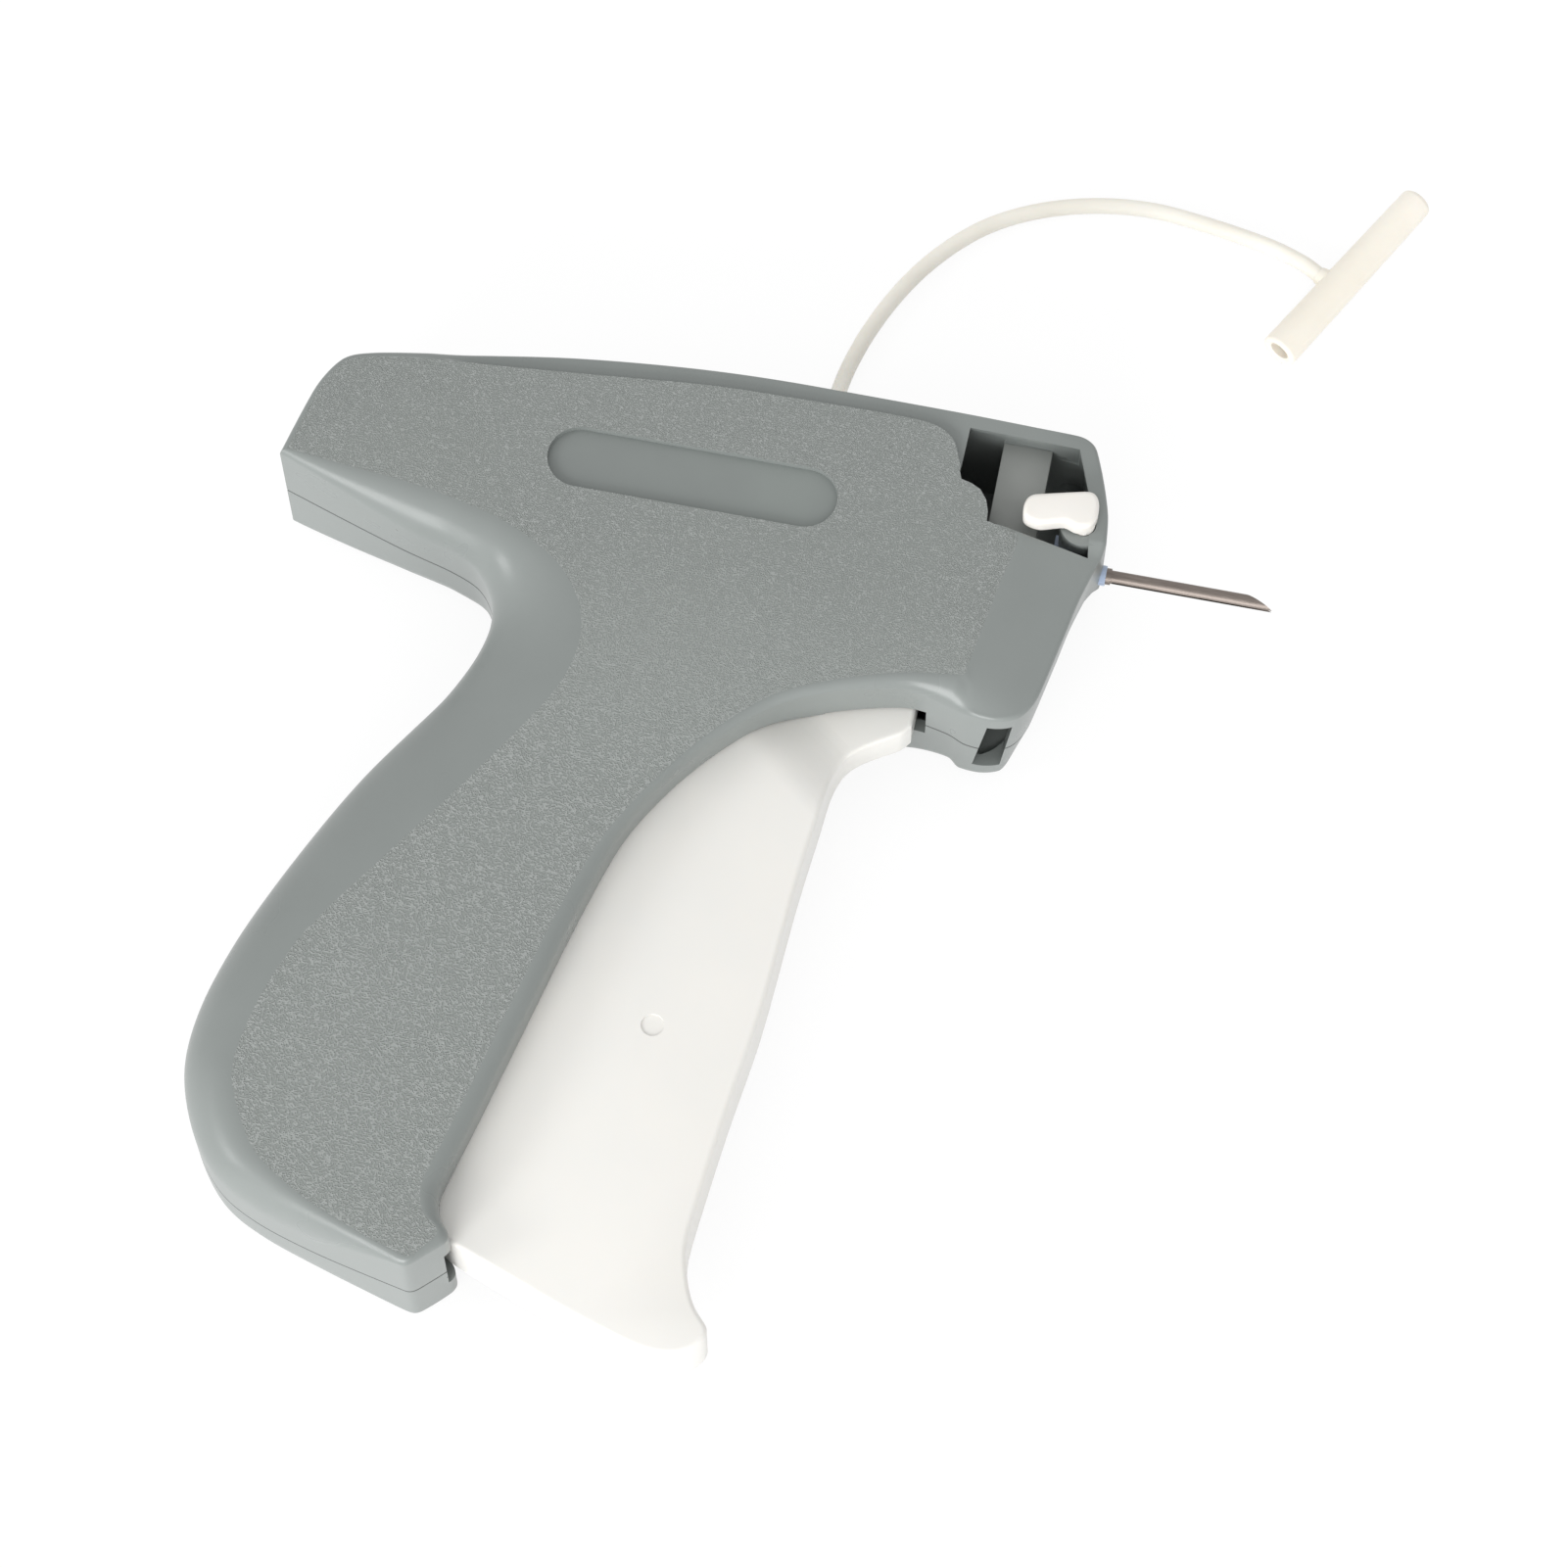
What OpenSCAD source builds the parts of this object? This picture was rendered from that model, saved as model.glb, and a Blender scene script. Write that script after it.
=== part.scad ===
// Garment tag attacher: a hand tool that pushes plastic tag pins through cloth with a hollow needle.
// It lies on its left side. +X points along the needle, +Y up the tool, +Z out of its right side.
// Modules draw in the tool frame, whose origin is the needle's root on the table plane, and
// place() moves them so that the origin is the middle of the tool's bounding box, on the table.

/* [Body] */
// Thickness of the two closed shells
thick = 26; // [24:0.5:30]
// Height of the seam between the shells
seam_z = 12; // [11:0.5:13]
// Wall of the shells
wall = 2; // [1.6:0.1:2.4]
// Largest height of the rounded shoulder between face and side wall
shoulder = 8; // [5:0.5:9]
// Depth of the smooth margin below the textured face, along the top
margin_drop = 1.2; // [0.6:0.1:1.8]
// Drop of the nose panel from its inner edge to the front
nose_drop = 2; // [1:0.1:3]
// Length of the badge recess
badge_l = 45.5; // [30:0.5:50]
// Height of the badge recess
badge_h = 10.2; // [6:0.1:12]
// Depth of the badge recess
badge_depth = 1; // [0.4:0.1:1.2]

/* [Needle] */
// Outside radius of the needle
needle_r = 1.05; // [0.9:0.05:1.2]
// Radius of the needle's thicker root
root_r = 1.3; // [1.25:0.05:1.4]
// How far the root stands out of the needle base
root_out = 0.8; // [0.5:0.1:1.5]
// Radius of the base's round front end
spigot_r = 1.6; // [1.5:0.05:1.9]
// Length of the base's round front end
spigot_l = 3.5; // [3:0.1:5]
// Wall of the needle tube
needle_wall = 0.3; // [0.2:0.05:0.35]
// Length of needle that stands out of the nose
needle_out = 26.5; // [20:0.5:32]
// Length of the needle's bevelled point
bevel_l = 4.5; // [3:0.5:6]
// Width of the slot that the tag pin's thread runs in
needle_slot = 0.5; // [0.3:0.05:0.6]
// Length of the plastic base inside the nose
base_l = 5.2; // [4.8:0.1:5.3]
// Half height of the needle base
base_half = 3.1; // [2.8:0.1:3.2]
// Thickness of the needle base
base_t = 10; // [8:0.5:10]
// Thickness of the knife blade
knife_t = 0.5; // [0.3:0.1:0.6]

/* [Trigger] */
// Thickness of the trigger grip
trigger_t = 12; // [10:0.5:13]
// Thickness of the trigger at its hub
hub_t = 7; // [6:0.5:8]
// Radius of the trigger hub
hub_r = 6; // [5:0.5:6.5]
// Skin of the hollow trigger
trigger_skin = 2; // [1.4:0.1:2.4]
// Squeeze angle of the trigger
squeeze = 14; // [10:0.5:14]
// Radius of the trigger's pivot pin
pivot_r = 2; // [1.5:0.1:2.5]

/* [Gears] */
// Tooth module of the gear train
tooth_m = 1; // [0.96:0.01:1.02]
// Teeth of a full circle of the trigger's inner sector
sector_teeth = 92; // [92:1:92]
// Teeth of the pinion
pinion_teeth = 8; // [8:1:8]
// Teeth of the large gear
gear_teeth = 28; // [28:1:28]
// Width of the large gear and of the rack
gear_w = 4; // [3:0.5:4]
// Width of the trigger's sector plate
sector_w = 4.8; // [4:0.2:5]
// Radius of the gear axle
gear_axle_r = 1.5; // [1.2:0.1:1.8]

/* [Slide] */
// Height of the slide's bar above the needle axis
slide_up = 5; // [4:0.5:5.5]
// Depth of the slide's bar below the needle axis
slide_down = 2.2; // [1.8:0.1:2.4]
// Thickness of the slide
slide_t = 10; // [8:0.5:10]
// Radius of the push rod
rod_r = 0.6; // [0.4:0.05:0.65]

/* [Feed] */
// Width of the channel that the tag pins come down
channel_w = 5.2; // [4.6:0.1:5.4]
// Thickness of the channel, across the tool
channel_t = 15; // [13:0.5:15]
// Teeth of the feed wheel
feed_teeth = 12; // [12:1:12]
// Tip radius of the feed wheel
feed_r = 4.6; // [4.2:0.1:4.7]
// Width of the feed wheel
feed_w = 6; // [4:0.5:7]
// Radius of the feed wheel's and the pawl's pins
small_pin_r = 1; // [0.8:0.1:1.2]
// Lift angle of the feed pawl
pawl_lift = 12; // [8:1:12]

/* [Lock lever] */
// Radius of the lever's stem
stem_r = 1.9; // [1.6:0.1:2]
// Thickness of the lever's arm
lever_t = 2.8; // [2:0.1:3]
// Radius of the boss that holds the stem
boss_r = 3.3; // [3:0.1:3.5]

/* [Return spring] */
// Mean radius of the return spring
spring_r = 3.1; // [2.6:0.1:3.3]
// Radius of the spring wire
wire_r = 0.45; // [0.35:0.05:0.5]
// Curls of the return spring
spring_curls = 13; // [8:1:14]
// Height of the spring, measured down from the needle axis
spring_down = 66; // [65:1:68]

/* [Screws] */
// Radius of the screw shank
screw_r = 1.2; // [1:0.1:1.4]
// Radius of the screw head
screw_head_r = 2.4; // [2:0.1:2.5]
// Radius of the screw posts
post_r = 3.2; // [3:0.1:3.4]
// Height of the screw heads' upper faces
screw_head_z = 3; // [2.6:0.1:3.4]
// Height of the screw tips
screw_tip_z = 20; // [18:0.5:21]

/* [Needle cap and tether] */
// Diameter of the tether cord
cord_d = 2.6; // [2.6:0.1:2.6]
// Length of the needle cap
cap_l = 36.5; // [30:0.5:38]
// Radius of the cap at its open end
cap_open_r = 3.05; // [3.05:0.05:3.05]
// Radius of the cap at its closed end
cap_closed_r = 2.7; // [2.4:0.05:2.9]
// Radius of the cap's bore
cap_bore_r = 1.7; // [1.3:0.05:1.9]

/* [Hidden] */
$fn = 48;

shell_color = [0.58, 0.60, 0.59];
white_color = [0.95, 0.95, 0.93];
steel_color = [0.72, 0.72, 0.74];

mid_z = thick / 2;      // needle axis
floor_z = wall;         // inside of the left face
roof_z = thick - wall;  // inside of the right face
fit = 0.05;             // running clearance of pins
play = 0.3;             // clearance between moving pieces

// ---- Outline of the shells -------------------------------------------------------------
// Each knot: silhouette x, y, then the edge of the textured face x, y, then the share of the
// stepped margin and of the nose panel in the shoulder between them. A knot that is given
// twice is a corner. The knots run from the tail's lower corner along the underside.
BAND = [0, 0];
STEP = [1, 0];
NOSE = [0, 1];
function knot(sx, sy, px, py, kind = BAND) = [sx, sy, px, py, kind[0], kind[1]];
outline_knots = [
  knot(-128.5, -9.8, -127.4, -9.2),
  knot(-128.5, -9.8, -127.4, -9.2),
  knot(-118, -13.3, -118, -10.2),
  knot(-108, -16.5, -109.5, -11),
  knot(-100, -18.7, -100.8, -12.4),
  knot(-95, -21, -90.9, -15.2),
  knot(-92, -25.2, -82.2, -20.2),
  knot(-91.2, -30, -77.4, -26.8),
  knot(-92.5, -36, -76.4, -34.1),
  knot(-95.8, -43.5, -78.9, -42.4),
  knot(-104.7, -58, -88.5, -58.5),
  knot(-111.6, -72.5, -98, -73),
  knot(-117.1, -86.6, -106.5, -86.5),
  knot(-120.1, -98.5, -110.8, -98.5),
  knot(-120.3, -108.5, -112.1, -109.2),
  knot(-117, -117.5, -109.4, -116.2),
  knot(-111.8, -124.2, -105.4, -121.8),
  knot(-105, -128, -97.8, -126.6),
  knot(-95, -131, -88.4, -130.4),
  knot(-80.1, -134, -79.6, -133.4),
  knot(-80.1, -134, -79.6, -133.4),
  knot(-75.1, -128.9, -76, -128.8),
  knot(-75.1, -128.9, -76, -128.8),
  knot(-77.5, -125, -79.7, -126),
  knot(-78.3, -121, -80.8, -121.5),
  knot(-75.3, -108.2, -77.6, -108),
  knot(-71.6, -92, -74, -92),
  knot(-67.6, -74.6, -70, -75),
  knot(-63.6, -60.8, -65.8, -62.3),
  knot(-58, -50.6, -60.1, -52),
  knot(-51.6, -42.6, -53.8, -43.3),
  knot(-45, -36.6, -46.4, -35.9),
  knot(-38.2, -33.1, -39, -31.9),
  knot(-31, -30.8, -31, -29),
  knot(-25, -29.7, -24.5, -27.4),
  knot(-19.5, -30.6, -18.8, -26.7),
  knot(-15.2, -31.9, -17.7, -26.2, NOSE),
  knot(-11.4, -32, -17.5, -24.8, NOSE),
  knot(-8.2, -30.6, -17.2, -23, NOSE),
  knot(-6.2, -27, -16.9, -21, NOSE),
  knot(-4.2, -17.1, -16.1, -16, NOSE),
  knot(-2.8, -9.7, -15.1, -9.7, NOSE),
  knot(-0.9, -2.6, -13.9, -2, NOSE),
  knot(-0.4, 0.2, -18.2, -0.6, STEP),
  knot(-0.4, 0.2, -18.2, -0.6, STEP),
  knot(-0.9, 4.6, -18.9, 3.6, STEP),
  knot(-1.9, 8.4, -21.6, 6, STEP),
  knot(-3.1, 12, -24.3, 6.7, STEP),
  knot(-3.1, 12, -24.3, 6.7, STEP),
  knot(-4.8, 16, -25.2, 9.2, STEP),
  knot(-7, 17.3, -26.9, 12.6, STEP),
  knot(-14, 17.5, -30.6, 14.4, STEP),
  knot(-27, 17.8, -38, 14.7, STEP),
  knot(-51.4, 18, -56, 14.5, STEP),
  knot(-63.8, 17.7, -66.2, 14.1, STEP),
  knot(-76, 16.8, -77, 13.1, STEP),
  knot(-88.3, 15.4, -88.5, 12, STEP),
  knot(-100.4, 13.4, -99.8, 11, STEP),
  knot(-110, 11.6, -109.6, 10.2),
  knot(-118.2, 9.9, -117.8, 8.9),
  knot(-122.6, 7.9, -121.9, 7.3),
  knot(-125.6, 2.4, -124.8, 2.2)
];
smooth_steps = 2;

// Catmull-Rom curve through the knots, closed; a doubled knot makes a corner.
function at(list, i) = list[(i + 2 * len(list)) % len(list)];
function blend_knots(a, b, c, d, t) =
  0.5 * (2 * b + (c - a) * t + (2 * a - 5 * b + 4 * c - d) * t * t + (3 * b - a - 3 * c + d) * t * t * t);
function closed_curve(knots, steps) = [
  for (i = [0:len(knots) - 1])
    if (norm(at(knots, i + 1) - at(knots, i)) > 0)
      for (k = [0:steps - 1])
        blend_knots(at(knots, i - 1), at(knots, i), at(knots, i + 1), at(knots, i + 2), k / steps)
];
function flat(list) = [for (p = list) [p[0], p[1]]];

outline = closed_curve(outline_knots, smooth_steps);
silhouette = flat(outline);
count = len(outline);

// Moves a counter-clockwise outline inwards by d, corner by corner.
function unit(v) = v / norm(v);
function left_of(v) = [-v[1], v[0]];
function inset(list, d) = [
  for (i = [0:len(list) - 1])
    let (
      a = left_of(unit(at(list, i) - at(list, i - 1))),
      b = left_of(unit(at(list, i + 1) - at(list, i)))
    )
    at(list, i) + (a + b) * d / max(1 + a * b, 0.4)
];
// The outline moved towards the face by share h where the shoulder is round, and by nose at the nose.
function drawn_in(h, nose = 0) = [
  for (q = outline)
    let (k = h * (1 - q[4] - q[5]) + nose * q[5])
    [q[0] + (q[2] - q[0]) * k, q[1] + (q[3] - q[1]) * k]
];

// Rings of the shoulder: share of the way to the face, and height above the needle plane.
ring_steps = 4;
corner_r = 0.8;
function band_ring(w, j) =
  let (r = min(shoulder, max(w, 1)), a = 90 * j / ring_steps)
  [1 - cos(a), mid_z - r * (1 - sin(a))];
function edge_ring(w, j, top, near) =
  j == 0 ? [0, top - corner_r]
  : j == 1 ? [0.25 * corner_r / w, top - 0.3 * corner_r]
  : j == 2 ? [corner_r / w, top]
  : j == 3 ? near
  : [1, mid_z];
function ring(q, j) =
  let (
    w = norm([q[2] - q[0], q[3] - q[1]]),
    step_top = mid_z - margin_drop,
    nose_top = mid_z - nose_drop
  )
  band_ring(w, j) * (1 - q[4] - q[5])
  + edge_ring(w, j, step_top, [0.985, step_top]) * q[4]
  + edge_ring(w, j, nose_top, [0.5, mid_z - nose_drop / 2]) * q[5];

// Solid of one shell from the seam to its face; side is 1 for the right shell and -1 for the left.
module shell_form(side) {
  seam_ring = [for (q = outline) [q[0], q[1], seam_z]];
  shoulder_rings = [
    for (j = [0:ring_steps])
      for (q = outline)
        let (r = ring(q, j))
        [
          q[0] + (q[2] - q[0]) * r[0],
          q[1] + (q[3] - q[1]) * r[0],
          j == ring_steps ? mid_z + side * mid_z : mid_z + side * r[1]
        ]
  ];
  rows = ring_steps + 2;
  bottom = [for (i = [0:count - 1]) i];
  top = [for (i = [0:count - 1]) (rows - 1) * count + count - 1 - i];
  sides = [
    for (k = [0:rows - 2])
      for (i = [0:count - 1])
        let (a = k * count + i, b = k * count + (i + 1) % count)
        each [[a, a + count, b + count], [a, b + count, b]]
  ];
  faces = concat([bottom], [top], sides);
  flipped = [for (f = faces) [for (i = [len(f) - 1:-1:0]) f[i]]];
  polyhedron(concat(seam_ring, shoulder_rings), side > 0 ? faces : flipped, convexity = 8);
}

// ---- Frame -----------------------------------------------------------------------------
// Outline of the trigger grip, from its front tip down round the toe and up inside the handle.
grip_knots = [
  [-24.6, -32.3], [-24.6, -32.3], [-26, -34], [-30.6, -36.9], [-33.4, -39.6], [-34.9, -43.5],
  [-35.6, -50], [-36.7, -62.4], [-37.9, -83.3], [-39.9, -100], [-41.4, -116], [-41.5, -121.5],
  [-40.2, -126.5], [-38.6, -129.8], [-36.2, -132.6], [-36.3, -134.6], [-38.6, -137], [-42.4, -138],
  [-47, -137.4], [-58, -134], [-75.2, -127.6], [-78.6, -125.6], [-78.6, -125.6], [-81.4, -119],
  [-79, -108], [-76, -96], [-71.8, -76], [-67, -61], [-61, -51], [-52, -41], [-44, -33], [-38, -27],
  [-33, -22.5], [-33, -22.5], [-24.4, -24.5], [-24.4, -24.5]
];
grip_outline = closed_curve(grip_knots, smooth_steps);

function xs(list) = [for (p = list) p[0]];
function ys(list) = [for (p = list) p[1]];
centre_x = (min(xs(silhouette)) + needle_out) / 2;
centre_y = (max(ys(silhouette)) + min(ys(grip_outline))) / 2;
module place() {
  translate([-centre_x, -centre_y, 0]) children();
}
// A pin or a post along Z at a point of the tool frame.
module upright(at_xy, r, z0, z1) {
  translate([at_xy[0], at_xy[1], z0]) cylinder(r = r, h = z1 - z0);
}
module block(x0, x1, y0, y1, z0, z1) {
  translate([x0, y0, z0]) cube([x1 - x0, y1 - y0, z1 - z0]);
}

// ---- Mechanism layout ------------------------------------------------------------------
pivot = [-30, -24];
sector_r = tooth_m * sector_teeth / 2;
pinion_r = tooth_m * pinion_teeth / 2;
gear_r = tooth_m * gear_teeth / 2;
rack_y = -5;                                   // pitch line of the rack
gear_y = rack_y - gear_r;
centre_distance = sector_r - pinion_r;
gear_x = pivot[0] - sqrt(pow(centre_distance, 2) - pow(gear_y - pivot[1], 2));
gear_at = [gear_x, gear_y];
mesh_angle = atan2(gear_y - pivot[1], gear_x - pivot[0]);
// Travel of the slide over the whole squeeze
stroke = squeeze * PI / 180 * sector_r * gear_r / pinion_r;
rack_spare = 4;
slide_front = gear_x + rack_spare + 3.5;
slide_rear = gear_x - stroke - rack_spare;
rack_front = gear_x + 3.6;

channel_front = -9.4;
channel_rear = channel_front - channel_w;
rod_tip = channel_rear - 1.4;
base_front = -3.3;
base_rear = base_front - base_l;
feed_at = [channel_rear - feed_r + 0.2, -9];
pawl_at = [feed_at[0] - 6, -16.5];
lever_at = [-4.4, 2.5];
spring_leaf_x = pawl_at[0] - 2.7;
stop_x = -27.8;

gear_z0 = 8;
gear_z1 = gear_z0 + gear_w;
sector_z0 = 13.5;
sector_z1 = sector_z0 + sector_w;
pinion_z1 = sector_z1 + play;
slide_z0 = mid_z - slide_t / 2;
slide_z1 = mid_z + slide_t / 2;
grip_z0 = mid_z - trigger_t / 2;
grip_z1 = mid_z + trigger_t / 2;
hub_z0 = mid_z - hub_t / 2;
hub_z1 = mid_z + hub_t / 2;
feed_z0 = mid_z - feed_w / 2;
feed_z1 = mid_z + feed_w / 2;
base_z0 = mid_z - base_t / 2;
base_z1 = mid_z + base_t / 2;

screws_at = [[-120.6, -0.5], [-84, 9.9], [-36, 11.6], [-19.8, -21], [-95.5, -124.6]];

// ---- Teeth -----------------------------------------------------------------------------
pressure = 28;
addendum = 0.8 * tooth_m;
dedendum = 1.0 * tooth_m;
backlash = 0.12 * tooth_m;
function involute_deg(a) = tan(a) * 180 / PI - a;
// Half width of a gear tooth in degrees at radius q, for pitch radius r with n teeth.
function half_tooth(r, n, q) =
  let (base = r * cos(pressure), a = acos(min(1, base / max(q, base))))
  90 / n - backlash / r * 90 / PI + involute_deg(pressure) - involute_deg(a);
function polar(r, a) = [r * cos(a), r * sin(a)];
module gear_outline(r, n) {
  levels = [r - dedendum, r - 0.5 * dedendum, r, r + 0.5 * addendum, r + addendum];
  points = [
    for (k = [0:n - 1])
      each concat(
        [for (q = levels) polar(q, 360 * k / n - half_tooth(r, n, q))],
        [for (j = [len(levels) - 1:-1:0]) polar(levels[j], 360 * k / n + half_tooth(r, n, levels[j]))]
      )
  ];
  polygon(points);
}
// One tooth of the rack, pointing down from the pitch line at x = 0.
module rack_tooth() {
  half = PI * tooth_m / 4 - backlash / 2;
  polygon([
    [-half - dedendum * tan(pressure) - 0.01, dedendum + 0.01],
    [-half + addendum * tan(pressure), -addendum],
    [half - addendum * tan(pressure), -addendum],
    [half + dedendum * tan(pressure) + 0.01, dedendum + 0.01]
  ]);
}
// One inner tooth of the sector, centred on angle 0 and pointing at the pivot.
module sector_tooth() {
  half = PI * tooth_m / 4 - backlash / 2;
  polygon([
    [sector_r - addendum, half - addendum * tan(pressure)],
    [sector_r + dedendum + 0.05, half + dedendum * tan(pressure)],
    [sector_r + dedendum + 0.05, -half - dedendum * tan(pressure)],
    [sector_r - addendum, -half + addendum * tan(pressure)]
  ]);
}

// ---- Shells ----------------------------------------------------------------------------
slot_z0 = grip_z0 - 0.4;
slot_z1 = grip_z1 + 0.4;
slot_first = 42;   // silhouette point at the lower front corner of the handle
slot_last = 60;    // silhouette point just behind the trigger hub
grip_sweep_r = 115.4;

// Space inside the shells, wide at the seam and drawn in under the rounded shoulder.
module cavity() {
  low = 7.5;
  mid = 4.5;
  translate([0, 0, low]) linear_extrude(thick - 2 * low) polygon(inset(silhouette, wall));
  translate([0, 0, mid]) linear_extrude(thick - 2 * mid) polygon(inset(drawn_in(0.35), wall));
  translate([0, 0, wall]) linear_extrude(thick - 2 * wall) polygon(inset(drawn_in(0.6, 0.6), wall));
}

// Slot that the trigger swings in: along the handle's front and round the hub.
module trigger_slot() {
  inner = inset(silhouette, wall + 1);
  edge = [for (i = [slot_first - 4:slot_last]) inner[i]];
  translate([0, 0, slot_z0]) linear_extrude(slot_z1 - slot_z0) intersection() {
    polygon(concat(edge, [[-36, -60], [-50, -150]]));
    translate(pivot) circle(r = grip_sweep_r, $fn = 180);
  }
  block(-38, -22.8, -40, pivot[1], hub_z0 - 0.5, hub_z1 + 0.5);
}

// Channel of the tag pins: in through the top wall and out through the chin.
module channel_openings() {
  z0 = mid_z - channel_t / 2;
  block(channel_rear, channel_front, 12, 20, z0, z0 + channel_t);
  block(channel_rear, channel_front, -35, -25, z0, z0 + channel_t);
}

module needle_hole() {
  translate([-6, 0, mid_z]) rotate([0, 90, 0]) cylinder(r = spigot_r + 0.12, h = 8);
}

window = [
  [-24.5, 15.4], [-24.6, 5.4], [-21.4, 5.4], [-18.6, 3.4], [-18, -0.5],
  [-13.2, -1.3], [-2.8, -2.8], [-4.2, 7], [-7.2, 15]
];
module window_cut() {
  translate([0, 0, roof_z - 4]) linear_extrude(10) polygon(window);
}

module badge_cut() {
  flat_l = badge_l - badge_h;
  translate([-65, -1.8, thick - badge_depth]) {
    translate([-flat_l / 2, -badge_h / 2, 0]) cube([flat_l, badge_h, 5]);
    for (s = [-1, 1]) translate([s * flat_l / 2, 0, 0]) cylinder(d = badge_h, h = 5);
  }
}

// Posts, rails and ribs that both shells have. z0 is just inside the face, low is clear of the
// nose panel's slope and round is clear of the handle's rounded shoulder.
module inside_supports(z0, low, round) {
  for (p = screws_at) support(p, post_r, z0);
  // rail above the slide
  rib(-114, -28, slide_up + play, slide_up + play + 1.6, z0);
  // rear and front walls of the tag pin channel, below the needle
  rib(channel_rear - 1.5, channel_rear, -26, -14.6, z0);
  rib(channel_rear - 1.5, channel_rear, -30.6, -26.5, low);
  rib(channel_front, channel_front + 1.5, -30, -6.3, low);
  // seat of the return spring, on the handle's back wall
  rib(-106.2, spring_rear, -spring_down - 4.1, -spring_down + 4.3, round);
}
module support(p, r, z) {
  upright(p, r, min(z, seam_z), max(z, seam_z));
}
module rib(x0, x1, y0, y1, z) {
  block(x0, x1, y0, y1, min(z, seam_z), max(z, seam_z));
}

// Bearings between a face and the piece that turns in them.
module bearings(z0, z_hub, z_gear, z_feed) {
  for (b = [
    [pivot, 4.4, z_hub], [gear_at, 3, z_gear], [feed_at, 2.4, z_feed], [pawl_at, 2.2, z_feed]
  ]) upright(b[0], b[1], min(z0, b[2]), max(z0, b[2]));
}

module pin_bores() {
  for (b = [[pivot, pivot_r], [gear_at, gear_axle_r], [feed_at, small_pin_r], [pawl_at, small_pin_r]])
    upright(b[0], b[1] + 0.01, floor_z - 0.8, roof_z + 0.8);
}

// Joins the smooth form and its ribs into one mesh, which the true bores are cut from.
module moulding() {
  resize([0, 0, 0]) union() children();
}

module left_shell() {
  color(shell_color) place() difference() {
    moulding() {
      difference() {
        shell_form(-1);
        cavity();
      }
      inside_supports(floor_z - 0.6, 4, 6.8);
      bearings(floor_z - 0.6, hub_z0 - play, gear_z0 - play, feed_z0 - play);
      // track under the slide
      block(-114, -26, -1.2, 4, floor_z - 1, slide_z0 - play);
      // seats of the needle base, the guide block, the pawl spring and the stop spring
      block(base_rear, base_front + 0.5, -3, 3, 1.9, base_z0);
      block(channel_rear - 4.4, channel_rear, -2.6, 15, 1.5, guide_z0);
      block(spring_leaf_x - 1.2, spring_leaf_x + 1.2, pawl_at[1] - 1.2, pawl_at[1] + 0.8,
        floor_z - 1, feed_z0);
      block(stop_x - 0.3, stop_x + 2, -5.6, -2.6, floor_z - 1, feed_z0);
    }
    trigger_slot();
    channel_openings();
    needle_hole();
    pin_bores();
    tether_hole();
    for (p = screws_at) {
      upright(p, screw_r + 0.2, -1, seam_z + 1);
      upright(p, screw_head_r + 0.2, -1, screw_head_z);
    }
  }
}

module right_shell() {
  color(shell_color) place() difference() {
    moulding() {
      difference() {
        shell_form(1);
        cavity();
        window_cut();
      }
      inside_supports(roof_z + 0.6, thick - 4, thick - 6.8);
      bearings(roof_z + 0.6, hub_z1 + play, pinion_z1 + play, feed_z1 + play);
      // track above the slide's right side and pad over the needle base
      block(-114, -26, -1.2, 4, slide_z1 + play, roof_z + 0.6);
      block(base_rear, base_front + 0.5, -5, -3.2, base_z1 + 0.1, roof_z - 1.2);
      // boss of the lock lever, held by the front wall
      upright(lever_at, boss_r, base_z1 + 0.2, roof_z + 0.3);
      block(lever_at[0], base_front + 1.4, lever_at[1] - 1.5, lever_at[1] + 1.5,
        base_z1 + 0.4, roof_z - 0.3);
    }
    trigger_slot();
    channel_openings();
    needle_hole();
    pin_bores();
    badge_cut();
    upright(lever_at, stem_r + fit, mid_z + root_r, thick + 1);
    for (p = screws_at) upright(p, screw_r + 0.02, seam_z - 1, screw_tip_z + 0.5);
  }
}

// ---- Screws ----------------------------------------------------------------------------
module shell_screws() {
  color(steel_color) place() for (p = screws_at) difference() {
    union() {
      upright(p, screw_r, screw_head_z - 1, screw_tip_z);
      upright(p, screw_head_r, screw_head_z - 2, screw_head_z);
    }
    translate([p[0], p[1], screw_head_z - 2.5]) {
      translate([-1.5, -0.3, 0]) cube([3, 0.6, 1.3]);
      translate([-0.3, -1.5, 0]) cube([0.6, 3, 1.3]);
    }
  }
}

// ---- Trigger ---------------------------------------------------------------------------
gear_clearance = 1.2;

module grip_form(d, z0, z1) {
  translate([0, 0, z0]) linear_extrude(z1 - z0)
    polygon(inset([for (i = [len(grip_outline) - 1:-1:0]) grip_outline[i]], d));
}

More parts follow.
